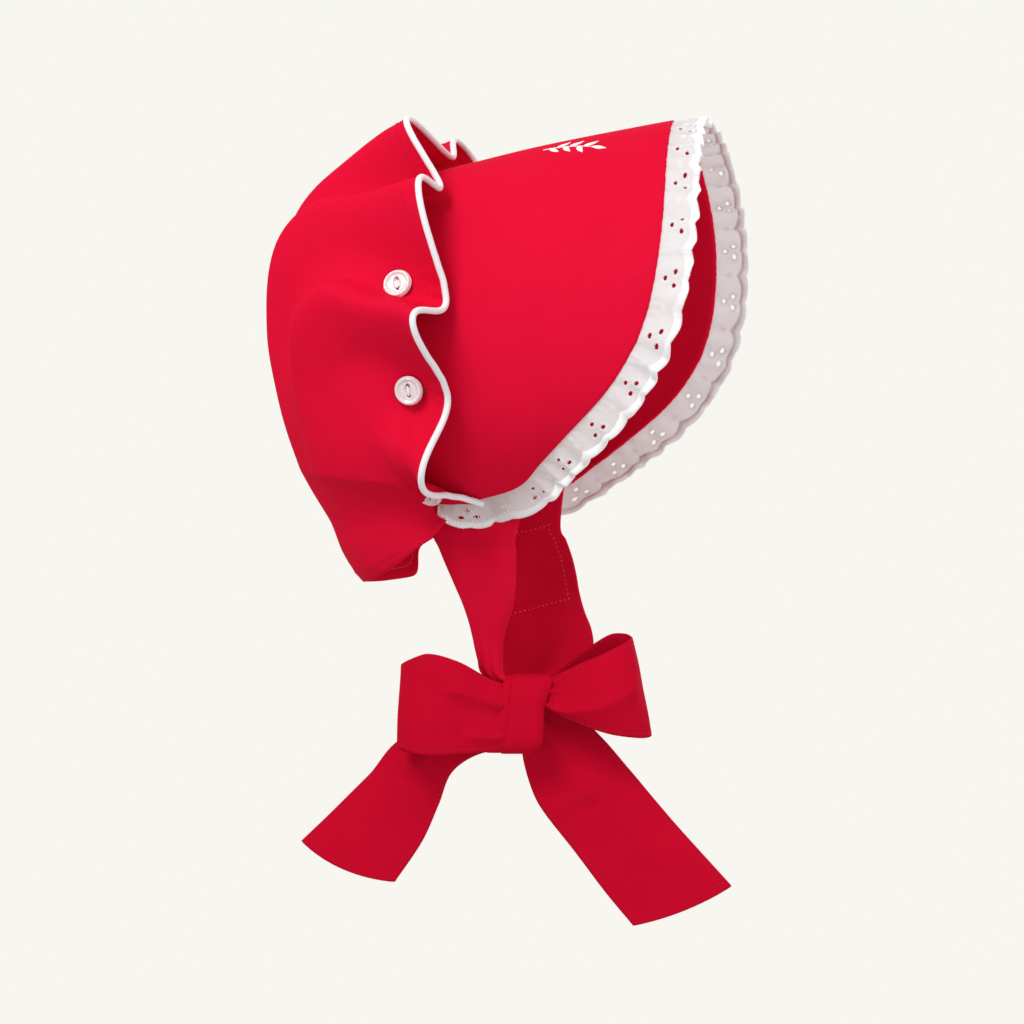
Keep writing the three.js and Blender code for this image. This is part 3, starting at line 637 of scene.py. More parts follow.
def cloth_shell(grid: Array, wall: float, side: int = 1) -> Surface:
    """A closed cloth wall with rounded edges.

    Args:
        grid: Points of one face in rows and columns, in millimetres.
        wall: The wall's thickness.
        side: 1 if the other face lies against the grid's normals, else -1.

    Returns:
        The closed surface.
    """
    rows, columns = grid.shape[:2]
    behind = grid - side * wall * grid_normals(grid)
    numbers = np.arange(rows * columns).reshape(rows, columns)
    first, last = numbers[:-1, :-1], numbers[1:, 1:]
    front = np.stack([first, numbers[:-1, 1:], last, numbers[1:, :-1]], axis=-1).reshape(-1, 4)
    back = front[:, ::-1] + rows * columns
    top = [(0, j) for j in range(columns - 1)]
    right = [(i, columns - 1) for i in range(rows - 1)]
    bottom = [(rows - 1, j) for j in range(columns - 1, 0, -1)]
    left = [(i, 0) for i in range(rows - 1, 0, -1)]
    ring = np.array(top + right + bottom + left)
    inner = np.stack([np.clip(ring[:, 0], 1, rows - 2), np.clip(ring[:, 1], 1, columns - 2)], axis=1)
    edge = grid[ring[:, 0], ring[:, 1]]
    middle = (edge + behind[ring[:, 0], ring[:, 1]]) / 2
    middle = middle + unit(edge - grid[inner[:, 0], inner[:, 1]]) * wall * EDGE_ROUNDING
    front_ring = numbers[ring[:, 0], ring[:, 1]]
    middle_ring = np.arange(len(ring)) + 2 * rows * columns
    rims = []
    for one, other in ((middle_ring, front_ring), (front_ring + rows * columns, middle_ring)):
        rims.append(np.stack([one, np.roll(one, -1), np.roll(other, -1), other], axis=1))
    faces = np.concatenate([front, back, *rims])
    points = np.concatenate([grid.reshape(-1, 3), behind.reshape(-1, 3), middle])
    cloth = cloth_coordinates(grid)
    coordinates = [cloth.reshape(-1, 2), cloth.reshape(-1, 2), cloth[ring[:, 0], ring[:, 1]]]
    return Surface(points, faces.tolist(), np.concatenate(coordinates))


def tube(line: Array, facing: Array, radius: float, sides: int) -> Surface:
    """A round cord along a line, closed by rounded ends.

    Args:
        line: The points of its middle, in millimetres.
        facing: A direction across the cord at each point.
        radius: The cord's radius.
        sides: How many faces go round it.

    Returns:
        The closed surface.
    """
    forward = unit(np.gradient(line, axis=0))
    across = unit(np.cross(facing, forward))
    third = np.cross(forward, across)
    steps = np.linspace(0, 1, CAP_RINGS + 1)[1:]
    ends = [(-1, steps[::-1]), (1, steps)]
    rings = [(line, across, third, np.ones(len(line)))]
    for side, angles in ends:
        index = 0 if side < 0 else -1
        reach = np.sin(angles * math.pi / 2)[:, None] * radius * side
        caps = line[index] + forward[index] * reach
        narrow = np.maximum(np.cos(angles * math.pi / 2), 0.02)
        spread = [np.tile(way[index], (CAP_RINGS, 1)) for way in (across, third)]
        ring = (caps, *spread, narrow)
        rings.insert(0 if side < 0 else len(rings), ring)
    centres, across, third, widths = (np.concatenate(parts) for parts in zip(*rings, strict=True))
    angles = np.linspace(0, 2 * math.pi, sides, endpoint=False)
    spokes = across[:, None] * np.cos(angles)[:, None] + third[:, None] * np.sin(angles)[:, None]
    points = centres[:, None] + spokes * widths[:, None, None] * radius
    lengths = np.concatenate([[0], np.cumsum(np.linalg.norm(np.diff(centres, axis=0), axis=1))])
    around = np.abs(np.linspace(-1, 1, sides, endpoint=False)) * math.pi * radius
    cloth = np.stack(np.meshgrid(around, lengths), axis=-1)
    return Surface(points.reshape(-1, 3), tube_faces(len(centres), sides), cloth.reshape(-1, 2))


def pierced_cell(
    outline: Array, holes: Sequence[Array], spacing: float, margin: float
) -> tuple[Array, Array]:
    """Fills an outline with triangles and leaves its holes open.

    Args:
        outline: The outline's corners in order, close together.
        holes: The corners of each hole in order.
        spacing: The distance between the points inside.
        margin: How far the points inside stay from every edge.

    Returns:
        The points, and the corner numbers of each triangle.
    """
    loops = [outline, *holes]
    low, high = outline.min(axis=0), outline.max(axis=0)
    xs = np.arange(low[0] + spacing / 2, high[0], spacing)
    ys = np.arange(low[1] + spacing / 2, high[1], spacing * 0.87)
    inside = np.stack(np.meshgrid(xs, ys), axis=-1)
    inside[1::2, :, 0] += spacing / 2
    inside = inside.reshape(-1, 2)
    edges = np.concatenate(loops)
    near = np.linalg.norm(inside[:, None] - edges[None], axis=2).min(axis=1)
    inside = inside[near > margin]
    inside = inside[within(inside, outline)]
    for hole in holes:
        inside = inside[~within(inside, hole)]
    points = [Vector(point) for point in np.concatenate([edges, inside])]
    links = []
    start = 0
    for loop in loops:
        links += [(start + k, start + (k + 1) % len(loop)) for k in range(len(loop))]
        start += len(loop)
    found, _, triangles, *_ = delaunay_2d_cdt(points, links, [], 0, 1e-5)
    places = np.array([tuple(point) for point in found])
    corners = np.array([face for face in triangles if len(face) == 3])
    middles = places[corners].mean(axis=1)
    keep = within(middles, outline)
    for hole in holes:
        keep &= ~within(middles, hole)
    return places, corners[keep]


def within(points: Array, outline: Array) -> Array:
    """Tests which points lie inside an outline.

    Args:
        points: The points in a plane.
        outline: The outline's corners in order.

    Returns:
        True for each point inside.
    """
    x, y = points[:, 0, None], points[:, 1, None]
    start, end = outline, np.roll(outline, -1, axis=0)
    crosses = (start[:, 1] > y) != (end[:, 1] > y)
    rise = np.where(end[:, 1] == start[:, 1], 1e-12, end[:, 1] - start[:, 1])
    at = start[:, 0] + (y - start[:, 1]) / rise * (end[:, 0] - start[:, 0])
    return (crosses & (x < at)).sum(axis=1) % 2 == 1


def double_sided(top: Array, bottom: Array, triangles: Array, cloth: Array) -> Surface:
    """Joins two faces that share their triangles by walls along every open edge.

    Args:
        top: The points of one face.
        bottom: The points of the other face.
        triangles: The corner numbers of each triangle.
        cloth: The cloth coordinates of each point.

    Returns:
        The closed surface.
    """
    used, corners = np.unique(triangles, return_inverse=True)
    corners = corners.reshape(-1, 3)
    count = len(used)
    sides = np.concatenate([corners[:, [0, 1]], corners[:, [1, 2]], corners[:, [2, 0]]])
    keys = np.sort(sides, axis=1)
    _, first, uses = np.unique(keys, axis=0, return_index=True, return_counts=True)
    rim = sides[first[uses == 1]]
    walls = np.stack([rim[:, 1], rim[:, 0], rim[:, 0] + count, rim[:, 1] + count], axis=1)
    faces = corners.tolist() + (corners[:, ::-1] + count).tolist() + walls.tolist()
    return Surface(np.concatenate([top[used], bottom[used]]), faces, np.tile(cloth[used], (2, 1)))


@dataclass
class Maker:
    """Turns surfaces into the scene's pieces."""

    origin: Array

    def piece(
        self,
        name: str,
        surface: Surface,
        finish: Finishes,
        slot: str,
        nodes: Sequence[str] = (),
    ) -> bpy.types.Object:
        """Makes one piece that rides on the bonnet's body.

        Args:
            name: The piece's name.
            surface: Its points and faces.
            finish: Its finish.
            slot: Its material slot; not used.
            nodes: The solids it stands for.

        Returns:
            The piece.
        """
        mesh = surface.mesh(name, self.origin)
        mesh.materials.append(finish.value.material())
        return self.placed(name, mesh, slot, nodes)

    def placed(
        self, name: str, mesh: bpy.types.Mesh, slot: str, nodes: Sequence[str] = ()
    ) -> bpy.types.Object:
        """Puts a finished mesh in the scene as a piece.

        Args:
            name: The piece's name.
            mesh: Its mesh, in the row frame.
            slot: Its material slot; not used.
            nodes: The solids it stands for.

        Returns:
            The piece.
        """
        made = add_object(name, mesh)
        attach(made, BODY)
        if nodes:
            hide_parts(*nodes)
        mesh.calc_loop_triangles()
        log.info("%s: %d triangles", name, len(mesh.loop_triangles))
        return made


class ThreadLayout(Enum):
    """How a thread tree finds the places of its stitches."""

    POINTS = "points"
    PATH = "path"


@dataclass(frozen=True)
class Threads:
    """Geometry Nodes that lay one small thread at each point, or at even steps along a path."""

    layout: ThreadLayout
    finish: Finishes
    thickness: float
    flatness: float = 0.8
    pitch: float = 2.5
    length: float = 1.6
    seed: int = 3

    def tree(self) -> tuple[bpy.types.NodeTree, dict[str, str]]:
        """Builds the node group.

        Returns:
            The group, and the identifier of each named input.
        """
        group = bpy.data.node_groups.new(f"threads_{self.layout.value}", "GeometryNodeTree")
        names = {}
        group.interface.new_socket("Geometry", in_out="INPUT", socket_type="NodeSocketGeometry")
        for name in ("Thickness", "Flatness", "Pitch", "Length"):
            socket = group.interface.new_socket(name, in_out="INPUT", socket_type="NodeSocketFloat")
            names[name] = socket.identifier
        group.interface.new_socket("Geometry", in_out="OUTPUT", socket_type="NodeSocketGeometry")
        tree = Tree(group)
        entry = tree.node("NodeGroupInput")
        facing = self.named(tree, "facing")
        if self.layout is ThreadLayout.PATH:
            curve = tree.node("GeometryNodeMeshToCurve", None, {0: entry.outputs[0]})
            steps = {"Curve": curve.outputs[0], "Length": entry.outputs["Pitch"]}
            points = tree.node("GeometryNodeResampleCurve", {"mode": "LENGTH"}, steps).outputs[0]
            direction = tree.node("GeometryNodeInputTangent").outputs[0]
            span = Value(tree, entry.outputs["Length"])
        else:
            points = entry.outputs[0]
            direction = self.named(tree, "direction")
            span = Value(tree, self.named(tree, "span", "FLOAT"))
        axes = {"primary_axis": "Z", "secondary_axis": "X"}
        turned = tree.node("FunctionNodeAxesToRotation", axes, {0: direction, 1: facing})
        jitter = {2: 0.85, 3: 1.15, "Seed": self.seed}
        varied = tree.value("FunctionNodeRandomValue", {"data_type": "FLOAT"}, jitter, 1)
        thick = Value(tree, entry.outputs["Thickness"]) * varied * 0.5
        size = tree.node(
            "ShaderNodeCombineXYZ",
            None,
            {0: thick * Value(tree, entry.outputs["Flatness"]), 1: thick, 2: span * 0.5},
        )
        placing = {"Rotation": turned.outputs[0], "Scale": size.outputs[0]}
        threads = {"Points": points, "Instance": self.thread(tree), **placing}
        laid = tree.node("GeometryNodeInstanceOnPoints", None, threads)
        real = tree.node("GeometryNodeRealizeInstances", None, {0: laid.outputs[0]})
        look = {"Geometry": real.outputs[0], "Material": self.finish.value.material()}
        dressed = tree.node("GeometryNodeSetMaterial", None, look)
        tree.node("NodeGroupOutput", None, {0: dressed.outputs[0]})
        return group, names

    @staticmethod
    def named(tree: Tree, name: str, kind: str = "FLOAT_VECTOR") -> bpy.types.NodeSocket:
        """Reads an attribute of the points, of this data type."""
        node = tree.node("GeometryNodeInputNamedAttribute", {"data_type": kind}, {"Name": name})
        return node.outputs["Attribute"]

    @staticmethod
    def thread(tree: Tree) -> bpy.types.NodeSocket:
        """One short thread with rounded ends along Z, two long and two across.

        Args:
            tree: The tree.

        Returns:
            The thread's mesh.
        """
        ball = tree.node("GeometryNodeMeshUVSphere", None, {"Segments": 6, "Rings": 4, "Radius": 1.0})
        position = tree.node("GeometryNodeInputPosition").outputs[0]
        parts = tree.node("ShaderNodeSeparateXYZ", None, {0: position})
        up = Value(tree, parts.outputs[2])
        full = up.sign() * up.size() ** 0.5
        place = tree.node("ShaderNodeCombineXYZ", None, {0: parts.outputs[0], 1: parts.outputs[1], 2: full})
        shape = {"Geometry": ball.outputs[0], "Position": place.outputs[0]}
        moved = tree.node("GeometryNodeSetPosition", None, shape)
        smooth = tree.node("GeometryNodeSetShadeSmooth", None, {0: moved.outputs[0]})
        return smooth.outputs[0]

    def sewn(self, maker: Maker, name: str, slot: str, layout: "Stitches") -> bpy.types.Object:
        """Lays the threads and keeps them as one plain mesh.

        Args:
            maker: What makes pieces.
            name: The piece's name.
            slot: Its material slot; not used.
            layout: Where the threads lie.

        Returns:
            The piece.
        """
        holder = add_object(name + "_layout", layout.mesh(name + "_layout", maker.origin))
        group, names = self.tree()
        modifier = holder.modifiers.new("threads", "NODES")
        modifier.node_group = group
        sizes = {
            "Thickness": self.thickness * MILLIMETRE,
            "Flatness": self.flatness,
            "Pitch": self.pitch * MILLIMETRE,
            "Length": self.length * MILLIMETRE,
        }
        for size, value in sizes.items():
            modifier[names[size]] = value
        shown = holder.evaluated_get(bpy.context.evaluated_depsgraph_get())
        mesh = bpy.data.meshes.new_from_object(shown)
        holder.modifiers.remove(modifier)
        bpy.data.objects.remove(holder)
        return maker.placed(name, mesh, slot)


@dataclass
class Stitches:
    """Where threads lie: points with the way each thread runs and faces, or paths."""

    points: list[Array] = field(default_factory=list)
    facing: list[Array] = field(default_factory=list)
    direction: list[Array] = field(default_factory=list)
    span: list[Array] = field(default_factory=list)

    def lay(self, points: Array, facing: Array, direction: Array, span: Array | float) -> None:
        """Adds single threads.

        Args:
            points: Their middles in millimetres.
            facing: The cloth's normals there.
            direction: The ways that they run.
            span: Their lengths.
        """
        self.points.append(points.reshape(-1, 3))
        self.facing.append(np.broadcast_to(facing, points.shape).reshape(-1, 3))
        self.direction.append(np.broadcast_to(direction, points.shape).reshape(-1, 3))
        self.span.append(np.broadcast_to(span, points.shape[:-1]).reshape(-1))

    def path(self, line: Array, facing: Array) -> None:
        """Adds a path that stitches follow, with the cloth's normals along it."""
        self.points.append(line)
        self.facing.append(facing)

    def mesh(self, name: str, origin: Array) -> bpy.types.Mesh:
        """The layout as a mesh of bare points, or of edges where it holds paths.

        Args:
            name: The mesh's name.
            origin: The row frame's origin among the points.

        Returns:
            The mesh.
        """
        edges = []
        start = 0
        if not self.direction:
            for line in self.points:
                edges += [(start + k, start + k + 1) for k in range(len(line) - 1)]
                start += len(line)
        mesh = bpy.data.meshes.new(name)
        points = (np.concatenate(self.points) - origin) * MILLIMETRE
        mesh.from_pydata(points.tolist(), edges, [])
        vectors = {"facing": self.facing, "direction": self.direction}
        for key, parts in vectors.items():
            if parts:
                attribute = mesh.attributes.new(key, "FLOAT_VECTOR", "POINT")
                attribute.data.foreach_set("vector", np.concatenate(parts).astype(np.float32).ravel())
        if self.span:
            spans = np.concatenate(self.span) * MILLIMETRE
            attribute = mesh.attributes.new("span", "FLOAT", "POINT")
            attribute.data.foreach_set("value", spans.astype(np.float32))
        return mesh


@dataclass
class Brim:
    """The stiff arched brim and its embroidered sprig. Lengths are in millimetres."""

    arch_turn: float = 151 * DEGREE
    wall: float = 2
    reach: float = 125
    tuck: float = 12
    belly: float = 2
    seam_half_width: float = 80
    seam_middle: float = 80
    seam_rise: float = 92
    seam_lean: float = 31
    front_half_width: float = 77
    front_rise: float = 119
    front_lift: float = 3
    seat_behind_front: float = 130
    waviness: float = 0.3
    columns: int = 300
    rows: int = 72
    front_edge: Rows = Rows(
        "turn reach",
        (
            (0.0, 0.936),
            (0.24, 0.981),
            (0.4, 1.0),
            (0.52, 0.974),
            (0.6, 0.914),
            (0.7, 0.794),
            (0.815, 0.592),
            (0.887, 0.472),
            (0.947, 0.384),
            (0.98, 0.296),
            (1.0, 0.2),
        ),
    )

    def seam(self, turn: Array) -> Array:
        """The seam between brim and crown, from -1 at its right end over the top to 1.

        Args:
            turn: The places along the seam.

        Returns:
            Their points.
        """
        drop = self.seam_middle / -math.cos(self.arch_turn)
        angle = np.abs(turn) * self.arch_turn
        out, up = arch(angle, self.seam_half_width, self.seam_middle, self.seam_rise, drop)
        height = up / (self.seam_middle + self.seam_rise)
        return np.stack([np.sign(turn) * out, self.seam_lean * height**3, up], axis=-1)

    def front(self, turn: Array) -> Array:
        """The brim's front edge.

        Args:
            turn: The places along it.

        Returns:
            Their points.
        """
        drop = (self.seam_middle - self.front_lift) / -math.cos(self.arch_turn)
        angle = np.abs(turn) * self.arch_turn
        out, up = arch(angle, self.front_half_width, self.seam_middle, self.front_rise, drop)
        reach = self.front_edge.read(np.abs(turn), "reach")
        return np.stack([np.sign(turn) * out, -self.reach * reach, up], axis=-1)

    def rib(self, turn: Array) -> Array:
        """How long the brim is from seam to front edge at each place along the seam."""
        return np.linalg.norm(self.front(turn) - self.seam(turn), axis=-1)

    def point(self, turn: Array, ahead: Array) -> Array:
        """The brim's outer face.

        Args:
            turn: The places along the seam.
            ahead: The lengths ahead of it.

        Returns:
            The points.
        """
        turn, ahead = np.broadcast_arrays(np.asarray(turn, float), np.asarray(ahead, float))
        seam = self.seam(turn)
        share = (ahead / self.rib(turn))[..., None]
        point = seam + (self.front(turn) - seam) * share
        flat = np.stack([point[..., 0], np.zeros_like(ahead), point[..., 2] - self.seam_middle], axis=-1)
        return point + unit(flat) * self.belly * 4 * share * (1 - np.minimum(share, 1))

    def normal(self, turn: Array, ahead: Array) -> Array:
        """The outer face's normals.

        Args:
            turn: The places along the seam.
            ahead: The lengths ahead of it.

        Returns:
            The normals.
        """
        start = np.minimum(turn, 1 - TURN_STEP)
        across = self.point(start + TURN_STEP, ahead) - self.point(start, ahead)
        along = self.point(turn, ahead + 1) - self.point(turn, ahead - 1)
        return unit(np.cross(along, across))

    def seat(self) -> Array:
        """The row frame's origin: where the head bears on the inside of the brim's top."""
        top = self.point(np.array(0.0), self.rib(np.array(0.0)) - self.seat_behind_front)
        return top - np.array([0, 0, self.wall])

    def shell(self) -> Surface:
        """The brim as a closed wall, very slightly wavy as quilted cotton is.

        Returns:
            The surface.
        """
        turn, share = np.meshgrid(np.linspace(-1, 1, self.columns), np.linspace(0, 1, self.rows))
        tuck = self.tuck * (1 - np.abs(turn) ** END_SHARPNESS)
        ahead = -tuck + (self.rib(turn) + tuck) * share
        grid = self.point(turn, ahead)
        inside = np.clip(4 * (1 - share), 0, 1) * (1 - np.abs(turn) ** END_SHARPNESS)
        relief = self.waviness * soft_waves(grid, 60, 5) * inside
        grid = grid + self.normal(turn, ahead) * relief[..., None]
        return cloth_shell(grid, self.wall, -1)

    def build(self, maker: Maker) -> list[bpy.types.Object]:
        """Makes the brim and its sprig."""
        brim = maker.piece("brim_cloth", self.shell(), Finishes.RED_COTTON, SLOT.red, ["brim"])
        return [brim, Sprig(self).build(maker)]


@dataclass
class Sprig:
    """A plain satin-stitched leaf sprig near the top of the brim, on the wearer's right."""

    brim: Brim
    turn: float = -0.13
    ahead: float = 84
    thread: float = 0.62
    pitch: float = 0.42
    stem: float = 26
    stem_width: float = 2.2
    stem_bend: float = 9
    leaf: float = 8.5
    leaf_width: float = 3.4
    leaf_angle: float = 0.85
    leaf_slant: float = 0.35
    first_leaf: float = 0.12
    leaves: int = 7

    def place(self, flat: Array) -> tuple[Array, Array, Array]:
        """Lays points of a flat drawing on the brim.

        Args:
            flat: Millimetres ahead and down the side, along the last axis.

        Returns:
            The points, the cloth's normals, and the direction that points ahead.
        """
        step = 0.01
        beside = self.brim.point(self.turn - step, self.ahead)
        span = np.linalg.norm(beside - self.brim.point(self.turn, self.ahead))
        turn = self.turn - flat[..., 1] / span * step
        ahead = self.ahead + flat[..., 0]
        normal = self.brim.normal(turn, ahead)
        onward = unit(self.brim.point(turn, ahead + 1) - self.brim.point(turn, ahead))
        return self.brim.point(turn, ahead) + normal * self.thread * 0.3, normal, onward

    def satin(self, stitches: Stitches, starts: Array, ends: Array) -> None:
        """Lays threads between pairs of points of the flat drawing.

        Args:
            stitches: Where they go.
            starts: One end of each thread.
            ends: The other end of each.
        """
        middle, normal, _ = self.place((starts + ends) / 2)
        run = self.place(ends)[0] - self.place(starts)[0]
        stitches.lay(middle, normal, unit(run), np.linalg.norm(run, axis=-1))

    def build(self, maker: Maker) -> bpy.types.Object:
        """Embroiders a curved stem with leaves on both sides and one at its tip.

        Args:
            maker: What makes pieces.

        Returns:
            The embroidery.
        """
        stitches = Stitches()
        at = np.arange(0, 1, self.pitch * 2 / self.stem)
        curve = np.stack([self.stem * at, self.stem_bend * at**1.7], axis=-1)
        along = unit(np.gradient(curve, axis=0))
        half = along * self.stem_width / 2
        self.satin(stitches, curve - half, curve + half)
        for number, share in enumerate(np.linspace(self.first_leaf, 1, self.leaves)):
            index = int(share * (len(curve) - 1))
            side = 0 if number == self.leaves - 1 else (-1 if number % 2 else 1)
            angle = math.atan2(along[index, 1], along[index, 0]) + side * self.leaf_angle
            way = np.array([math.cos(angle), math.sin(angle)])
            aside = np.array([-way[1], way[0]])
            steps = np.arange(0.06, 1, self.pitch / self.leaf)[:, None]
            width = self.leaf_width / 2 * np.sin(math.pi * steps**0.8)
            middles = curve[index] + way * self.leaf * steps
            slant = way * self.leaf_slant * width
            self.satin(stitches, middles - aside * width - slant, middles + aside * width + slant)
        threads = Threads(ThreadLayout.POINTS, Finishes.WHITE_THREAD, self.thread, flatness=0.9)
        return threads.sewn(maker, "brim_sprig", SLOT.white, stitches)


@dataclass
class Crown:
    """The soft crown with its buttoned frill, its piping, its hem and its buttonholes."""

    brim: Brim
    wall: float = 1.2
    reach: float = 180
    half_width: float = 90
    frill_depth: float = 26
    frill_lift: float = 4
    frill_lift_lost_at_end: float = 0.7
    seam_along: float = 0.09
    seam_ease: float = 0.12
    fold_height: float = 32
    fold_flat: float = 0.13
    drift_reach: float = 0.2
    hem_along: float = 0.82
    tuck: float = 16
    tuck_share: float = 0.8
    tuck_width: float = 0.16
    hang: float = 9
    hang_share: float = 0.3
    fold_fullness: float = 0.8
    button_hold: float = 12
    seam_smoothing: int = 260
    seam_nearness: float = 0.07
    rounding: int = 36
    piping: float = 3.3
    facing_width: float = 8
    pucker: float = 0.55
    pucker_pitch: float = 4.2
    hem: float = 5
    hem_rows: int = 2
    buttonhole: float = 19.2
    lips: float = 1.9
    hood_length: float = 261
    facing_height: float = 0.35
    crumple: float = 0.45
    crease_height: float = 4.6
    crease_up: float = 12
    crease_slope: float = 0.1
    crease_above: float = 24
    crease_below: float = 6
    flat: tuple[float, float] = (0.42, 0.2)
    columns_in_fold: int = 42
    frill_rows: int = 32
    hood_rows: int = 88
    fastenings: Rows = Rows(
        "turn depth slant drift",
        (
            (0, 1.04, 0, 0),
            (0.24, 1.18, 0.042, 0.35),
            (0.472, 0.96, 0.036, 0.7),
            (0.69, 0.8, 0.0, 0.3),
            (0.94, 0.45, 0.0, -0.3),
            (0.982, 0.9, 0.0, -0.3),
        ),
    )
    folds: Rows = Rows(
        "number height start end crest lean ahead trail",
        (
            (0, 1.04, 0.04, 0.04, 0.55, 0.0, -0.1, -0.22),
            (1, 0.86, 0.0, 0.0, 0.46, 0.26, 0.0, 0.46),
            (2, 1.0, 0.2, 0.0, 0.42, 0.26, 0.0, 0.46),
            (3, 0.97, 0.0, 0.04, 0.66, 0.08, 0.26, 0.38),
        ),
    )
    fold_fading: Rows = Rows(
        "along left",
        ((0, 1), (0.09, 0.9), (0.2, 0.53), (0.3, 0.26), (0.42, 0.07), (0.55, 0)),
    )
    sections: Rows = Rows(
        "along tilt reach width middle bow",
        (
            (0.2, 20, 0.99, 0.93, 0.45, 0.09),
            (0.3, 29, 0.955, 0.93, 0.43, 0.03),
            (0.475, 43, 0.79, 0.88, 0.38, 0),
            (0.65, 61, 0.597, 0.8, 0.34, 0),
            (0.785, 79.3, 0.468, 0.7, 0.32, 0),
            (0.88, 97, 0.39, 0.62, 0.3, -0.06),
            (0.94, 113, 0.375, 0.59, 0.3, -0.14),
            (1.0, 129, 0.37, 0.56, 0.3, -0.26),
        ),
    )

    def __post_init__(self) -> None:
        """Puts the seam's own arch before the other sections."""
        brim = self.brim
        top = brim.seam_middle + brim.seam_rise
        seat = CLOTH_GAP + self.wall
        lean = brim.seam_lean / self.reach
        seam = (
            self.seam_along,
            math.atan2(brim.seam_lean, top) / DEGREE,
            (math.hypot(top, brim.seam_lean) + seat) / self.reach,
            (brim.seam_half_width + seat) / self.half_width,
            brim.seam_middle / top,
            lean,
        )
        self.sections = Rows(self.sections.columns, (seam, *self.sections.rows))

    def hood(self, turn: Array, along: Array) -> Array:
        """The crown behind the seam before it is folded: an arch on a plane that tilts back.

        Args:
            turn: The places across.
            along: The places from frill to neck edge.

        Returns:
            The points.
        """
        read = self.sections.read
        reach = self.reach * read(along, "reach")
        half_width = self.half_width * read(along, "width")
        middle = reach * read(along, "middle")
        foot = self.brim.seam_half_width * math.sin(self.brim.arch_turn) + self.wall + CLOTH_GAP
        end = math.pi - np.arcsin(foot / half_width)
        drop = middle / -np.cos(end)
        out, up = arch(np.abs(turn) * end, half_width, middle, reach - middle, drop)
        share = up / reach
        bow = self.reach * read(along, "bow") * (share * share - share)
        drawn = np.clip((self.tuck_share - share) / self.tuck_width, 0, 1)
        near_edge = np.clip((along - self.hem_along) / (1 - self.hem_along), 0, 1)
        tucked = self.tuck * drawn**2 * (3 - 2 * drawn) * np.minimum(share * 3, 1)
        hanging = self.hang * bump_at(share, self.hang_share)
        bow = bow + np.where(turn > 0, -tucked, hanging) * near_edge
        tilt = read(along, "tilt") * DEGREE
        back = up * np.sin(tilt) + bow * np.cos(tilt)
        return np.stack([np.sign(turn) * out, back, up * np.cos(tilt) - bow * np.sin(tilt)], axis=-1)

    def frill(self, turn: Array, share: Array) -> Array:
        """The crown's outer face where it lies on the brim.

        Args:
            turn: The places across.
            share: The share of the way from the seam to the frill's edge.

        Returns:
            The points.
        """
        place = np.abs(turn)
        depth = self.frill_depth * self.fastenings.read(place, "depth")
        kept = 1 - self.frill_lift_lost_at_end * place**END_SHARPNESS
        lift = CLOTH_GAP + self.wall + self.frill_lift * share * share * kept
        ahead = depth * share
        turn = turn + np.sign(turn) * self.fastenings.read(place, "slant") * share
        return self.brim.point(turn, ahead) + self.brim.normal(turn, ahead) * lift[..., None]

    def base(self, turn: Array, along: Array) -> Array:
        """The whole crown before it is folded.

        Args:
            turn: The places across.
            along: The places from frill to neck edge.

        Returns:
            The points.
        """
        turn, along = np.broadcast_arrays(np.asarray(turn, float), np.asarray(along, float))
        front = self.frill(turn, np.maximum(1 - along / self.seam_along, 0))
        past = np.maximum(along, self.seam_along)
        ease = np.maximum(1 - (past - self.seam_along) / self.seam_ease, 0) ** 2
        seam = np.full_like(along, self.seam_along)
        shift = self.frill(turn, np.zeros_like(along)) - self.hood(turn, seam)
        behind = self.hood(turn, past) + shift * ease[..., None]
        return np.where((along < self.seam_along)[..., None], front, behind)

    def fold(self, turn: Array, along: Array) -> dict[str, Array]:
        """The fold that each place lies in and how much of its height it has there.

        Args:
            turn: The places across.
            along: The places from frill to neck edge.

        Returns:
            The fold's own values by name, with rise and pitch.
        """
        place = np.abs(turn)
        turns = np.array([row[0] for row in self.fastenings.rows])
        table = np.array(self.folds.rows)
        past = np.maximum(along - self.seam_along, 0) / self.drift_reach
        drift = self.fastenings.read(place, "drift") * self.drift_reach
        place = np.minimum(place + drift * (1 - np.exp(-past)), turns[-1])
        index = np.searchsorted(turns[1:-1], place, side="left")
        beyond = index >= len(table)
        index = np.minimum(index, len(table) - 1)
        values = {name: table[index, k] for k, name in enumerate(self.folds.names())}
        pitch = turns[index + 1] - turns[index]
        share = (place - turns[index]) / pitch
        inward = np.minimum(along / self.seam_along, 1)
        start = values["start"] + (np.maximum(values["start"], self.fold_flat) - values["start"]) * inward
        end = values["end"] + (self.fold_flat - values["end"]) * inward
        raised = np.clip((share - start) / (1 - start - end), 0, 1)
        warped = raised ** (math.log(0.5) / np.log(values["crest"]))
        wave = np.sin(math.pi * warped) ** 2
        rise = np.where(beyond, 0, wave * (1 + self.fold_fullness * (1 - wave)))
        return {**values, "rise": rise, "pitch": np.where(beyond, 0, pitch), "share": share}

    def beside_button(self, turn: Array) -> Array:
        """How many millimetres across the crown each place lies from the nearest button.

        Args:
            turn: The places across.

        Returns:
            The distances.
        """
        turns = np.array([row[0] for row in self.fastenings.rows[:-1]])
        arc = self.brim.seam_half_width * self.brim.arch_turn
        return np.abs(np.abs(turn)[..., None] - turns).min(axis=-1) * arc

    def held_down(self, turn: Array, along: Array) -> Array:
        """How far the buttons hold the cloth down: 1 under a button's middle, less beyond its edge."""
        behind = (along - self.seam_along) * self.frill_depth / self.seam_along
        return bump_at(np.hypot(self.beside_button(turn), behind), self.button_hold)

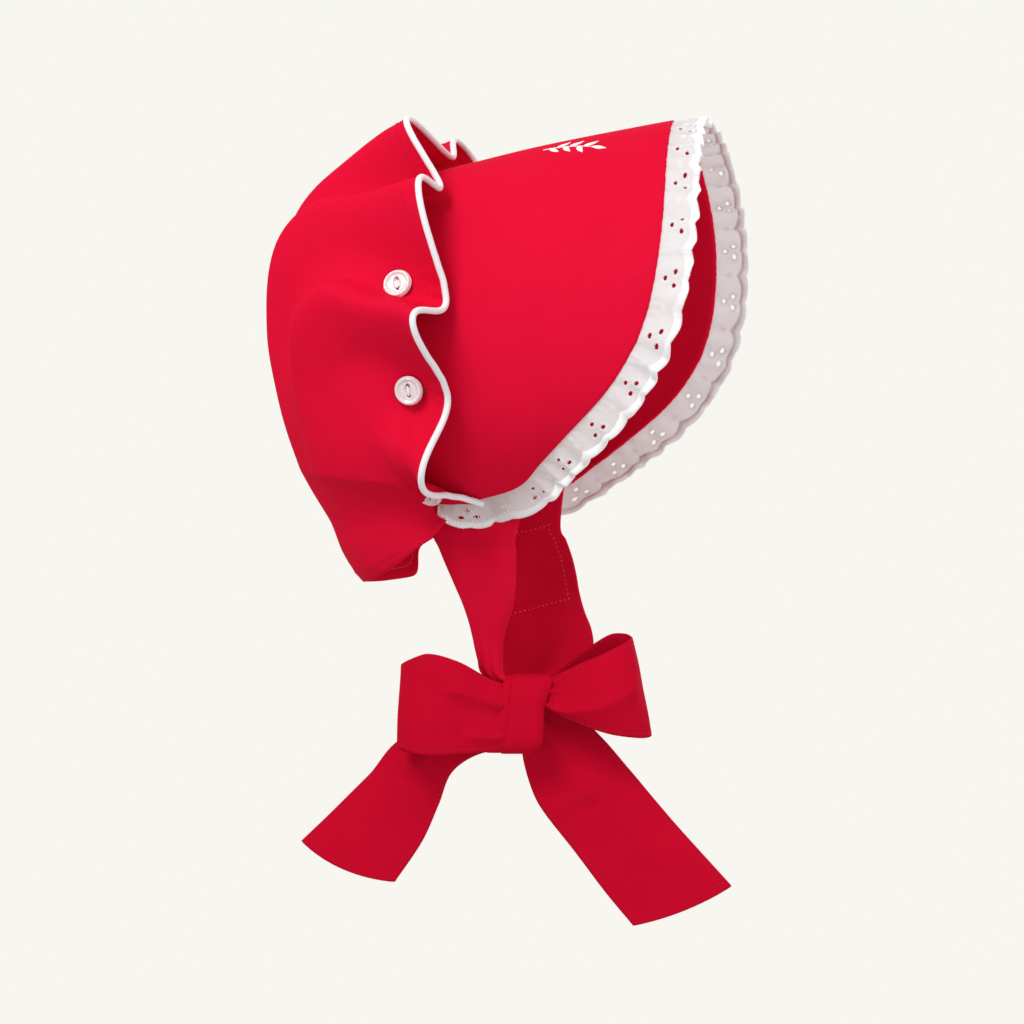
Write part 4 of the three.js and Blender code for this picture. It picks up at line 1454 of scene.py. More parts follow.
    def point(self, turn: Array, along: Array) -> Array:
        """The folded crown's outer face.

        Args:
            turn: The places across.
            along: The places from frill to neck edge.

        Returns:
            The points.
        """
        turn, along = np.broadcast_arrays(np.asarray(turn, float), np.asarray(along, float))
        fold = self.fold(turn, along)
        last = self.fold_fading.rows[-1][0]
        trailing = along - fold["trail"] * np.maximum(along - self.seam_along, 0)
        left = np.maximum(self.fold_fading.read(np.minimum(trailing, last), "left"), 0)
        fade = left * fold["rise"] * (1 - self.held_down(turn, along))
        leaned = turn - np.sign(turn) * fold["lean"] * fold["pitch"] * fade
        across = unit(self.base(leaned + TURN_STEP, along) - self.base(leaned - TURN_STEP, along))
        start = np.maximum(along - TURN_STEP, 0)
        back = unit(self.base(leaned, along + TURN_STEP) - self.base(leaned, start))
        outward = unit(np.cross(across, back))
        first = self.sections.rows[1][0]
        ahead = self.fold_height * fold["ahead"] * fade * np.maximum(1 - along / first, 0)
        height = self.fold_height * fold["height"] * fade
        return self.base(leaned, along) + outward * height[..., None] - back * ahead[..., None]

    def turns(self, steps: int) -> Array:
        """Places across the crown, at even steps within each fold.

        Args:
            steps: How many lie in each fold.

        Returns:
            The places, from the right end to the left.
        """
        turns = [row[0] for row in self.fastenings.rows]
        even = np.linspace(0, 1, steps, endpoint=False)
        folds = zip(turns[:-2], turns[1:-1], strict=True)
        half = [start + (end - start) * even for start, end in folds]
        half.append(np.linspace(turns[-2], turns[-1], steps // 4))
        half = np.concatenate(half)
        return np.concatenate([-half[:0:-1], half])

    def relief(self, grid: Array, turn: Array, along: Array) -> Array:
        """The small forms of the sewn cloth: facing, puckers, hem, a crease and soft crumples.

        Args:
            grid: The crown's points.
            turn: Their places across.
            along: Their places from the frill's edge to the neck edge.

        Returns:
            A height over the cloth for each point.
        """
        depth = self.frill_depth * self.fastenings.read(np.abs(turn), "depth")
        behind_edge = along / self.seam_along * depth
        facing = self.facing_height * bump_at(behind_edge - self.facing_width, 0.9)
        beside = self.beside_button(turn)
        near = bump_at(beside, 9) * bump_at(behind_edge - 2, 8)
        phase = 2 * math.pi * beside / self.pucker_pitch + soft_waves(grid, 14, 8) * 1.6
        puckers = self.pucker * near * np.sin(phase)
        past_stitches = (1 - along) * self.hood_length - self.hem
        hem = 0.35 * bump_at(past_stitches, 1.0) - 0.2 * bump_at(past_stitches - 2, 1.2)
        back, up = grid[..., 1], grid[..., 2]
        distance = up - (self.crease_up + self.crease_slope * (back - self.crease_up))
        steep = np.where(distance > 0, self.crease_above, self.crease_below)
        lasting = np.clip((back + 4) / 10, 0, 1) * np.clip((82 - back) / 30, 0, 1)
        crease = self.crease_height * np.exp(-np.abs(distance) / steep) * lasting
        crumples = self.crumple * soft_waves(grid, 34, 21) * np.clip(behind_edge / 14, 0, 1)
        return facing + puckers + hem + crease + crumples

    def grid(self) -> Array:
        """The crown's outer face as fine rows and columns.

        Returns:
            The points.
        """
        frill = np.linspace(0, self.seam_along, self.frill_rows, endpoint=False)
        hood = np.linspace(self.seam_along, 1, self.hood_rows)
        turn, along = np.meshgrid(self.turns(self.columns_in_fold), np.concatenate([frill, hood]))
        grid = self.point(turn, along)
        folded = np.clip(1.4 * self.fold(turn, along)["rise"], 0, 1)
        near_seam = bump_at(along - self.seam_along, self.seam_nearness)
        share = 0.5 * folded * (1 - self.held_down(turn, along)) * near_seam
        share = share[1:-1, :, None]
        for _ in range(self.seam_smoothing):
            grid[1:-1] += share * ((grid[:-2] + grid[2:]) / 2 - grid[1:-1])
        for _ in range(self.rounding):
            grid[:, 1:-1] += 0.5 * ((grid[:, :-2] + grid[:, 2:]) / 2 - grid[:, 1:-1])
        return grid + grid_normals(grid) * self.relief(grid, turn, along)[..., None]

    def build(self, maker: Maker) -> list[bpy.types.Object]:
        """Makes the crown, its piping, its hem's stitches and its buttonholes.

        Args:
            maker: What makes pieces.

        Returns:
            The pieces.
        """
        grid = self.grid()
        wall = cloth_shell(grid, self.wall)
        crown = maker.piece("crown_cloth", wall, Finishes.RED_COTTON, SLOT.red, ["crown"])
        normals = grid_normals(grid)
        piping = self.piping_cord(grid, normals)
        cord = maker.piece("crown_piping_cord", piping, Finishes.WHITE_PIPING, SLOT.white, ["crown_piping"])
        line, facing = grid[-1 - self.hem_rows], normals[-1 - self.hem_rows]
        hidden, shown = Stitches(), Stitches()
        hidden.path(line - facing * (self.wall + 0.1), -facing)
        shown.path(line + facing * 0.1, facing)
        pale = Threads(ThreadLayout.PATH, Finishes.PALE_THREAD, 0.35)
        red = Threads(ThreadLayout.PATH, Finishes.RED_THREAD, 0.4)
        trims = [
            cord,
            pale.sewn(maker, "hem_stitches_inside", SLOT.white, hidden),
            red.sewn(maker, "hem_stitches", SLOT.red, shown),
            self.buttonholes(maker),
        ]
        return [crown, *trims]

    def piping_cord(self, grid: Array, normals: Array) -> Surface:
        """The round piping on the frill's edge.

        Args:
            grid: The crown's points.
            normals: Its normals.

        Returns:
            The cord's surface.
        """
        edge = grid[0]
        forward = unit(edge - grid[3])
        line = edge + forward * self.piping * 0.36 - normals[0] * self.wall / 2
        steps = np.concatenate([[0], np.cumsum(np.linalg.norm(np.diff(line, axis=0), axis=1))])
        even = np.arange(0, steps[-1], 0.9)
        line = np.stack([np.interp(even, steps, line[:, k]) for k in range(3)], axis=1)
        facing = unit(np.stack([np.interp(even, steps, forward[:, k]) for k in range(3)], axis=1))
        for _ in range(16):
            line[1:-1] = (line[:-2] + 2 * line[1:-1] + line[2:]) / 4
            facing[1:-1] = unit(facing[:-2] + 2 * facing[1:-1] + facing[2:])
        return tube(line, facing, self.piping / 2, 16)

    def buttonholes(self, maker: Maker) -> bpy.types.Object:
        """A satin-stitched buttonhole under each button.

        Args:
            maker: What makes pieces.

        Returns:
            The stitches of all buttonholes.
        """
        stitches = Stitches()
        half = self.buttonhole / 2
        step = 0.004
        for number, (turn, *_) in enumerate(self.fastenings.rows[:-1]):
            for side in (-1, 1) if number else (1,):
                place = side * turn
                middle = self.point(place, self.seam_along)
                length = np.linalg.norm(self.point(place, self.seam_along + step) - middle)
                width = np.linalg.norm(self.point(place + step, self.seam_along) - middle)
                aheads = np.linalg.norm(self.point(place, 0.0) - middle)
                at = np.arange(-half, half, 0.5)
                along = self.seam_along + np.where(at < 0, at / aheads * self.seam_along, at / length * step)
                for lip in (-self.lips / 2, self.lips / 2):
                    turns = place + lip / width * step
                    points = self.point(turns, along)
                    across = unit(self.point(turns + step, along) - points)
                    normal = unit(np.cross(across, unit(self.point(turns, along + step) - points)))
                    stitches.lay(points + normal * 0.15, normal, across, self.lips)
        threads = Threads(ThreadLayout.POINTS, Finishes.RED_THREAD, 0.5)
        return threads.sewn(maker, "buttonhole_stitches", SLOT.red, stitches)


@dataclass
class Button:
    """A pearl button with a raised rim, a lens-shaped hollow and two holes sewn with thread."""

    crown: Crown
    diameter: float = 15
    thickness: float = 2.6
    rim: float = 2.4
    hole: float = 2
    hole_spacing: float = 5
    lens_length: float = 8.6
    lens_width: float = 3.9
    lens_depth: float = 0.75
    rim_height: float = 0.75
    edge_round: float = 0.9
    gap: float = 0.3
    shank_height: float = 0.8
    longest_rise: float = 1.2
    lanes: tuple[float, ...] = (-0.34, 0, 0.34)
    shank_threads: int = 7

    def top(self, x: Array, y: Array) -> Array:
        """The height of the button's face.

        Args:
            x: Along the line of the holes.
            y: Across it.

        Returns:
            The heights over the button's back.
        """
        radius = np.hypot(x, y)
        edge = self.diameter / 2
        rim_middle = edge - self.rim / 2
        plate = self.thickness - self.rim_height
        ring = self.rim_height * bump_at(radius - rim_middle, self.rim * 0.42)
        groove = -0.3 * bump_at(radius - (edge - self.rim - 0.35), 0.32)
        lens = np.maximum(1 - (2 * x / self.lens_length) ** 2 - np.abs(2 * y / self.lens_width) ** 1.6, 0)
        rounding = -1.5 * np.clip((radius - edge) / self.edge_round + 1, 0, 1) ** 2.4
        return plate + ring + groove - self.lens_depth * np.minimum(lens * 2.2, 1) + rounding

    def face(self) -> tuple[Array, Array]:
        """The button's flat outline with its two holes.

        Returns:
            The points, and the corner numbers of each triangle.
        """
        ring = circle(18, self.hole / 2)
        holes = [ring + np.array([side * self.hole_spacing / 2, 0]) for side in (-1, 1)]
        return pierced_cell(circle(72, self.diameter / 2), holes, 0.42, 0.2)

    def placed(self, turn: float, rise: float) -> tuple[Array, Array, Array, Array]:
        """Where a button sits.

        Args:
            turn: Its place across the crown.
            rise: How far the shank lifts it over the cloth.

        Returns:
            The middle of its back, and its directions along the holes, across them and outward.
        """
        crown = self.crown
        step = 0.05
        seam = np.array(crown.seam_along)
        across = crown.base(turn + step, seam) - crown.base(turn - step, seam)
        back = crown.base(turn, seam + step) - crown.base(turn, seam - step)
        normal = unit(np.cross(across, back))
        holes = unit(across - normal * (across @ normal))
        middle = crown.base(np.array(turn), seam) + normal * (self.gap + self.shank_height + rise)
        return middle, holes, np.cross(normal, holes), normal

    def rise(self, turn: float) -> float:
        """How far the folded cloth stands beside a button above the place where it is sewn on.

        Args:
            turn: The button's place across the crown.

        Returns:
            The height in millimetres.
        """
        crown = self.crown
        last = crown.fastenings.rows[-1][0]
        nearby = self.diameter / (crown.brim.seam_half_width * crown.brim.arch_turn)
        turns, alongs = np.meshgrid(np.linspace(turn - nearby, turn + nearby, 41), np.linspace(0, 1, 101))
        middle, _, _, normal = self.placed(turn, -self.gap - self.shank_height)
        offset = crown.point(np.clip(turns, -last, last), alongs) - middle
        height = offset @ normal
        reach = np.linalg.norm(offset - height[..., None] * normal, axis=-1)
        return float(np.max(height[reach < self.diameter / 2 + self.gap], initial=0))

    def build(self, maker: Maker) -> list[bpy.types.Object]:
        """Makes every button, its thread and its shank.

        Args:
            maker: What makes pieces.

        Returns:
            The pieces.
        """
        flat, triangles = self.face()
        top = self.top(flat[:, 0], flat[:, 1])
        radius = np.hypot(flat[:, 0], flat[:, 1])
        bottom = self.edge_round * np.clip((radius - self.diameter / 2) / 1.2 + 1, 0, 1) ** 2
        pieces = []
        thread = Stitches()
        for number, (turn, *_) in enumerate(self.crown.fastenings.rows[:-1]):
            for side, suffix in ((-1, "_right"), (1, "_left")) if number else ((1, ""),):
                place = side * turn
                rise = min(self.rise(place), self.longest_rise)
                middle, holes, across, normal = self.placed(place, rise)
                lower, upper = (
                    middle + flat[:, :1] * holes + flat[:, 1:] * across + height[:, None] * normal
                    for height in (bottom, top)
                )
                surface = double_sided(upper, lower, triangles, flat)
                name = f"button_{number}{suffix}"
                pieces.append(maker.piece(f"pearl_{name}", surface, Finishes.PEARL, SLOT.pearl, [name]))
                floor = self.thickness - self.rim_height - self.lens_depth + 0.35
                for lane in self.lanes:
                    middle_of_thread = middle + normal * (floor + 0.12 * (lane == 0)) + across * lane
                    thread.lay(middle_of_thread[None], normal, holes, self.hole_spacing + 0.7)
                length = self.shank_height + rise + self.gap + 1
                for x, y in circle(self.shank_threads, 1):
                    spot = holes * x * 1.1 + across * y * 0.7
                    thread.lay((middle + spot - normal * (length / 2 - 1))[None], holes, normal, length)
        threads = Threads(ThreadLayout.POINTS, Finishes.WHITE_THREAD, 0.42, flatness=1)
        pieces.append(threads.sewn(maker, "button_thread", SLOT.white, thread))
        return pieces


@dataclass
class Lace:
    """The gathered eyelet lace around the brim's front and ends, with its embroidery."""

    brim: Brim
    wall: float = 0.55
    depth: float = 18.5
    scallop: float = 1.5
    ripple: float = 2.2
    groups: int = 24
    hang: float = 0.55
    front_share: float = 0.93
    ripple_at_seam: float = 0.15
    end_calm: float = 0.6
    end_narrowing: float = 0.2
    end_taper: float = 0.5
    taper_length: float = 17
    tucked: float = 1.2
    eyelet: float = 2.4
    eyelet_spread: float = 5.7
    eyelet_place: float = 0.5
    pitch: float = 25
    spacing: float = 0.72
    satin: float = 0.8
    satin_pitch: float = 0.5
    band: float = 3.6
    band_at_star: float = 2.4
    ray: float = 1.5
    flat: tuple[float, float] = (0.0185, 0.66)

    def edge(self, place: Array) -> Array:
        """The brim's outer edge, from its right lower end over the top to the left one.

        Args:
            place: -1 to 1 along it.

        Returns:
            The points.
        """
        far = np.abs(place)
        turn = np.minimum(far / self.front_share, 1)
        back = np.maximum((far - self.front_share) / (1 - self.front_share), 0)
        return self.brim.point(np.sign(place) * turn, self.brim.rib(turn) * (1 - back))

    def frame(self, place: Array) -> tuple[Array, Array, Array]:
        """The edge with the way that the lace stands away from it.

        Args:
            place: -1 to 1 along the edge.

        Returns:
            The edge's points, the ways away from the brim, and the ways out of the lace's face.
        """
        step = 0.02
        point = self.edge(place)
        along = unit(self.edge(np.minimum(place + step, 1)) - self.edge(np.maximum(place - step, -1)))
        up = point[..., 2] - self.brim.seam_middle
        below = np.where(up < 0, self.hang * (1 - np.abs(place) ** END_SHARPNESS), 1)
        outward = unit(np.stack([point[..., 0], np.zeros_like(up), up * below], axis=-1))
        return point, unit(np.cross(along, outward)), outward

    def full_depth(self, place: Array) -> Array:
        """The lace's depth at a place, with two small scallops to each group.

        Args:
            place: -1 to 1 along the edge.

        Returns:
            The depths.
        """
        phase = (place + 1) * self.groups * math.pi
        lobes = np.abs(np.sin(phase)) ** 0.7
        narrow = 1 - self.end_narrowing * np.abs(place) ** END_SHARPNESS
        left = (1 - np.abs(place)) * self.groups * self.pitch / 2
        narrow = narrow * (1 - self.end_taper * np.clip(1 - left / self.taper_length, 0, 1) ** 1.5)
        return self.depth * narrow - self.scallop * (1 - lobes)

    def band_depth(self, place: Array) -> Array:
        """How deep the satin band begins at each place, an arc round each group of eyelets."""
        group = np.abs(np.sin((place + 1) * self.groups * math.pi / 2)) ** 0.7
        return self.full_depth(place) - self.band - self.band_at_star * (1 - group)

    def point(self, place: Array, down: Array, height: Array | float = 0) -> Array:
        """A point of the rippled lace.

        Args:
            place: -1 to 1 along the edge.
            down: Millimetres away from the brim.
            height: Millimetres over the lace's middle.

        Returns:
            The points.
        """
        point, away, outward = self.frame(place)
        share = np.clip(down / self.depth, 0, 1)
        phase = place * self.groups * math.pi
        end = np.abs(place) ** END_SHARPNESS
        fullness = (self.ripple_at_seam + (1 - self.ripple_at_seam) * share) * (1 - self.end_calm * end)
        strength = 0.8 + 0.3 * np.sin(0.31 * phase + 2) + 0.15 * np.sin(1.13 * phase)
        wave = np.sin(2 * phase + 1.2 * np.sin(0.43 * phase + 1) + 0.5 * share)
        gathers = 0.35 * bump_at(down - 1.5, 3.5) * np.sin(5.3 * phase + 2 * np.sin(phase))
        free = np.clip(0.1 + down / 4, 0, 1)
        lift = (self.ripple * strength * wave * fullness + gathers) * free - self.brim.wall / 2 + height
        return point + away * down[..., None] + outward * lift[..., None]

    def basis(self, place: Array, down: Array) -> tuple[Array, Array, Array]:
        """The lace's own directions.

        Args:
            place: -1 to 1 along the edge.
            down: Millimetres away from the brim.

        Returns:
            Unit vectors along the lace, away from the brim, and out of its face.
        """
        step = 0.001
        along = unit(self.point(place + step, down) - self.point(place - step, down))
        away = unit(self.point(place, down + 0.3) - self.point(place, down - 0.3))
        return along, away, unit(np.cross(away, along))

    def eyelets(self) -> Array:
        """The middles of one group's eyelets: one toward the brim and two away from it.

        Returns:
            Millimetres along the group and away from the brim, one row for each eyelet.
        """
        angles = np.array([180, 60, -60]) * DEGREE
        spread = self.eyelet_spread / math.sqrt(3)
        middle = np.array([self.pitch / 2, self.depth * self.eyelet_place])
        return middle + spread * np.stack([np.sin(angles), np.cos(angles)], axis=1)

    def cloth(self) -> Surface:
        """The lace's pierced ground cloth.

        Returns:
            The closed surface.
        """
        across = np.linspace(0, self.pitch, 36)
        down = np.linspace(-self.tucked, self.depth, 28)
        holes = [circle(14, self.eyelet / 2) + middle for middle in self.eyelets()]
        outline = np.concatenate(
            [
                np.stack([across, np.full(len(across), -self.tucked)], axis=1),
                np.stack([np.full(len(down) - 1, self.pitch), down[1:]], axis=1),
                np.stack([across[-2::-1], np.full(len(across) - 1, self.depth)], axis=1),
                np.stack([np.zeros(len(down) - 2), down[-2:0:-1]], axis=1),
            ]
        )
        flat, triangles = pierced_cell(outline, holes, self.spacing, self.spacing * 0.4)
        places, corners = [], []
        for group in range(self.groups):
            places.append(flat + np.array([group * self.pitch, 0]))
            corners.append(triangles + group * len(flat))
        places, corners = np.concatenate(places), np.concatenate(corners)
        keys = np.round(places, 3)
        _, first, merged = np.unique(keys, axis=0, return_index=True, return_inverse=True)
        places, corners = places[first], merged.reshape(-1)[corners]
        place = places[:, 0] / (self.groups * self.pitch) * 2 - 1
        down = places[:, 1]
        stretch = (self.full_depth(place) - self.satin / 2) / self.depth
        down = np.where(down > 0, down * stretch, down)
        half = self.wall / 2
        top, bottom = self.point(place, down, half), self.point(place, down, -half)
        return double_sided(top, bottom, corners, places)

    def embroidery(self) -> tuple[Stitches, Stitches]:
        """The satin edge, and the rays and stars round the eyelets.

        Returns:
            The edge's threads, and the finer ones.
        """
        edge, motifs = Stitches(), Stitches()
        count = int(self.groups * self.pitch / self.satin_pitch)
        place = np.linspace(-0.999, 0.999, count)
        start, end = self.band_depth(place), self.full_depth(place) + 0.25
        middle = (start + end) / 2
        _, away, out = self.basis(place, middle)
        edge.lay(self.point(place, middle), out, away, end - start)
        per_place = 2 / (self.groups * self.pitch)
        for group in range(self.groups):
            origin = -1 + 2 * group / self.groups
            for spot in self.eyelets():
                angles = np.linspace(0, 2 * math.pi, 11, endpoint=False)
                reach = self.eyelet / 2 + self.ray / 2 - 0.05
                self.radial(motifs, origin + spot[0] * per_place, spot[1], angles, reach, self.ray)
            if group:
                angles = np.linspace(0, 2 * math.pi, 6, endpoint=False)
                self.radial(motifs, origin, self.depth * 0.42, angles, 1.15, 2.0)
        return edge, motifs

    def radial(
        self,
        motifs: Stitches,
        place: float,
        down: float,
        angles: Array,
        reach: float,
        span: float,
    ) -> None:
        """Lays threads like rays round a spot, on both faces.

        Args:
            motifs: Where they go.
            place: The spot's place along the edge.
            down: Its distance from the brim.
            angles: The rays' angles.
            reach: How far their middles are from the spot.
            span: Their lengths.
        """
        per_place = 2 / (self.groups * self.pitch)
        places = place + np.sin(angles) * reach * per_place
        downs = down + np.cos(angles) * reach
        for face in (-1, 1):
            along, away, out = self.basis(places, downs)
            ways = along * np.sin(angles)[:, None] + away * np.cos(angles)[:, None]
            points = self.point(places, downs, face * (self.wall / 2 + 0.05))
            motifs.lay(points, out, ways, span)

    def build(self, maker: Maker) -> list[bpy.types.Object]:
        """Makes the lace and its embroidery.

        Args:
            maker: What makes pieces.

        Returns:
            The pieces.
        """
        cloth = maker.piece("lace_cloth", self.cloth(), Finishes.EYELET_CLOTH, SLOT.white, ["lace_edging"])
        edge, motifs = self.embroidery()
        satin = Threads(ThreadLayout.POINTS, Finishes.WHITE_THREAD, self.satin, flatness=1.7)
        fine = Threads(ThreadLayout.POINTS, Finishes.WHITE_THREAD, 0.42, flatness=0.9)
        pieces = [
            cloth,
            satin.sewn(maker, "lace_satin_edge", SLOT.white, edge),
            fine.sewn(maker, "lace_motifs", SLOT.white, motifs),
        ]
        return pieces


@dataclass
class Tie:
    """The wide tie on one side, from inside the brim's lower end down to the knot."""

    brim: Brim
    side: int
    rows: Rows
    width: float = 52
    drop: float = 111
    drawn_in: float = 5
    flat_share: float = 0.7
    gap: float = 0.3
    sewn_turns: tuple[float, ...] = (0.9, 0.955, 1.012)
    fine_rows: int = 150
    fine_columns: int = 56

    def grid(self) -> Array:
        """The tie's face as fine rows and columns.

        Returns:
            The points.
        """
        across = np.linspace(0, 1, self.fine_columns)
        end_half_width = self.brim.seam_half_width * math.sin(self.brim.arch_turn)
        rows = []
        for turn in self.sewn_turns:
            ahead = self.width * across
            rib = self.brim.rib(np.array(turn))
            past_flat = np.maximum(ahead / rib - self.flat_share, 0)
            drawn = self.brim.wall + self.gap + self.drawn_in * past_flat
            turns = np.full_like(across, self.side * turn)
            rows.append(self.brim.point(turns, ahead) - self.brim.normal(turns, ahead) * drawn[:, None])
        for at in np.linspace(self.rows.rows[0][0], 1, 10):
            columns = self.rows.names()[1:]
            read = {name: float(self.rows.read(np.array(at), name)) for name in columns}
            out = end_half_width * read["out"] + self.width * read["belly"] * 4 * across * (1 - across)
            ahead = self.width * (read["back"] + (read["front"] - read["back"]) * across)
            up = self.drop * (read["back_up"] + (read["front_up"] - read["back_up"]) * across)
            rows.append(np.stack([self.side * out, -ahead, up], axis=-1))
        grid = smooth_rows(np.array(rows), self.fine_rows)
        down = np.linspace(0, 1, self.fine_rows)[:, None]
        gathered = np.clip((down - 0.55) / 0.45, 0, 1) ** 2
        pleats = np.sin(across * 2 * math.pi * 2.6 + self.side) * gathered
        relief = 0.9 * pleats + 0.5 * soft_waves(grid, 30, 40 + self.side) * np.clip(down * 4, 0, 1)
        return grid + grid_normals(grid) * relief[..., None]


@dataclass(frozen=True)
class Crease:
    """A ridge pressed into a ribbon's front, running out from the knot."""

    start: float
    end: float
    reach: float
    height: float
    above: float
    below: float

    def relief(self, at: Array, across: Array) -> Array:
        """How far the ridge lifts the cloth to the front.

        Args:
            at: The places along the ribbon.
            across: The places across it.

        Returns:
            The heights in millimetres.
        """
        line = self.start + (self.end - self.start) * np.clip(at / self.reach, 0, 1)
        aside = across - line
        wide = np.where(aside < 0, self.above, self.below)
        lasting = np.clip(at / 0.06, 0, 1) * np.clip((self.reach - at) / 0.06, 0, 1)
        return self.height * np.exp(-np.sqrt(aside * aside + 0.0004) / wide) * lasting


@dataclass
class Ribbon:
    """One ribbon of the bow, in the bow's own frame: +X to its right, -Y to its front."""

    name: str
    rows: Rows
    end_bulge: float = 0
    pleats: float = 1.0
    loop: bool = False
    creases: tuple[Crease, ...] = ()
    seed: int = 0
    width: float = 52
    fine_rows: int = 190
    fine_columns: int = 50

    def grid(self) -> Array:
        """The ribbon's face as fine rows and columns.

        Returns:
            The points in the bow's frame.
        """
        shares = (np.linspace(0, 1, count) for count in (self.fine_columns, self.fine_rows))
        across, at = np.meshgrid(*shares)

        def read(column: str) -> Array:
            """A column as a length."""
            return self.width * self.rows.read(at, column)

        right = read("one_right") + (read("other_right") - read("one_right")) * across
        up = read("one_up") + (read("other_up") - read("one_up")) * across
        front = read("front") + read("belly") * 4 * across * (1 - across)
        for crease in self.creases:
            front = front + crease.relief(at, across)
        grid = np.stack([right, -front, up], axis=-1)
        if self.end_bulge:
            way = unit(grid[-1] - grid[-8])
            swell = self.end_bulge * 4 * across * (1 - across) * np.clip((at - 0.7) / 0.3, 0, 1) ** 2
            grid = grid + way[None] * swell[..., None]
        from_knot = np.minimum(at, 1 - at) if self.loop else at
        gathered = np.exp(-from_knot / 0.11)
        phase = across * 2 * math.pi
        rays = np.sin(phase * 2.3 + self.seed) + 0.5 * np.sin(phase * 4.1 + 2 * self.seed)
        relief = self.pleats * gathered * rays + 0.6 * soft_waves(grid, 34, 60 + self.seed)
        return grid + grid_normals(grid) * relief[..., None]


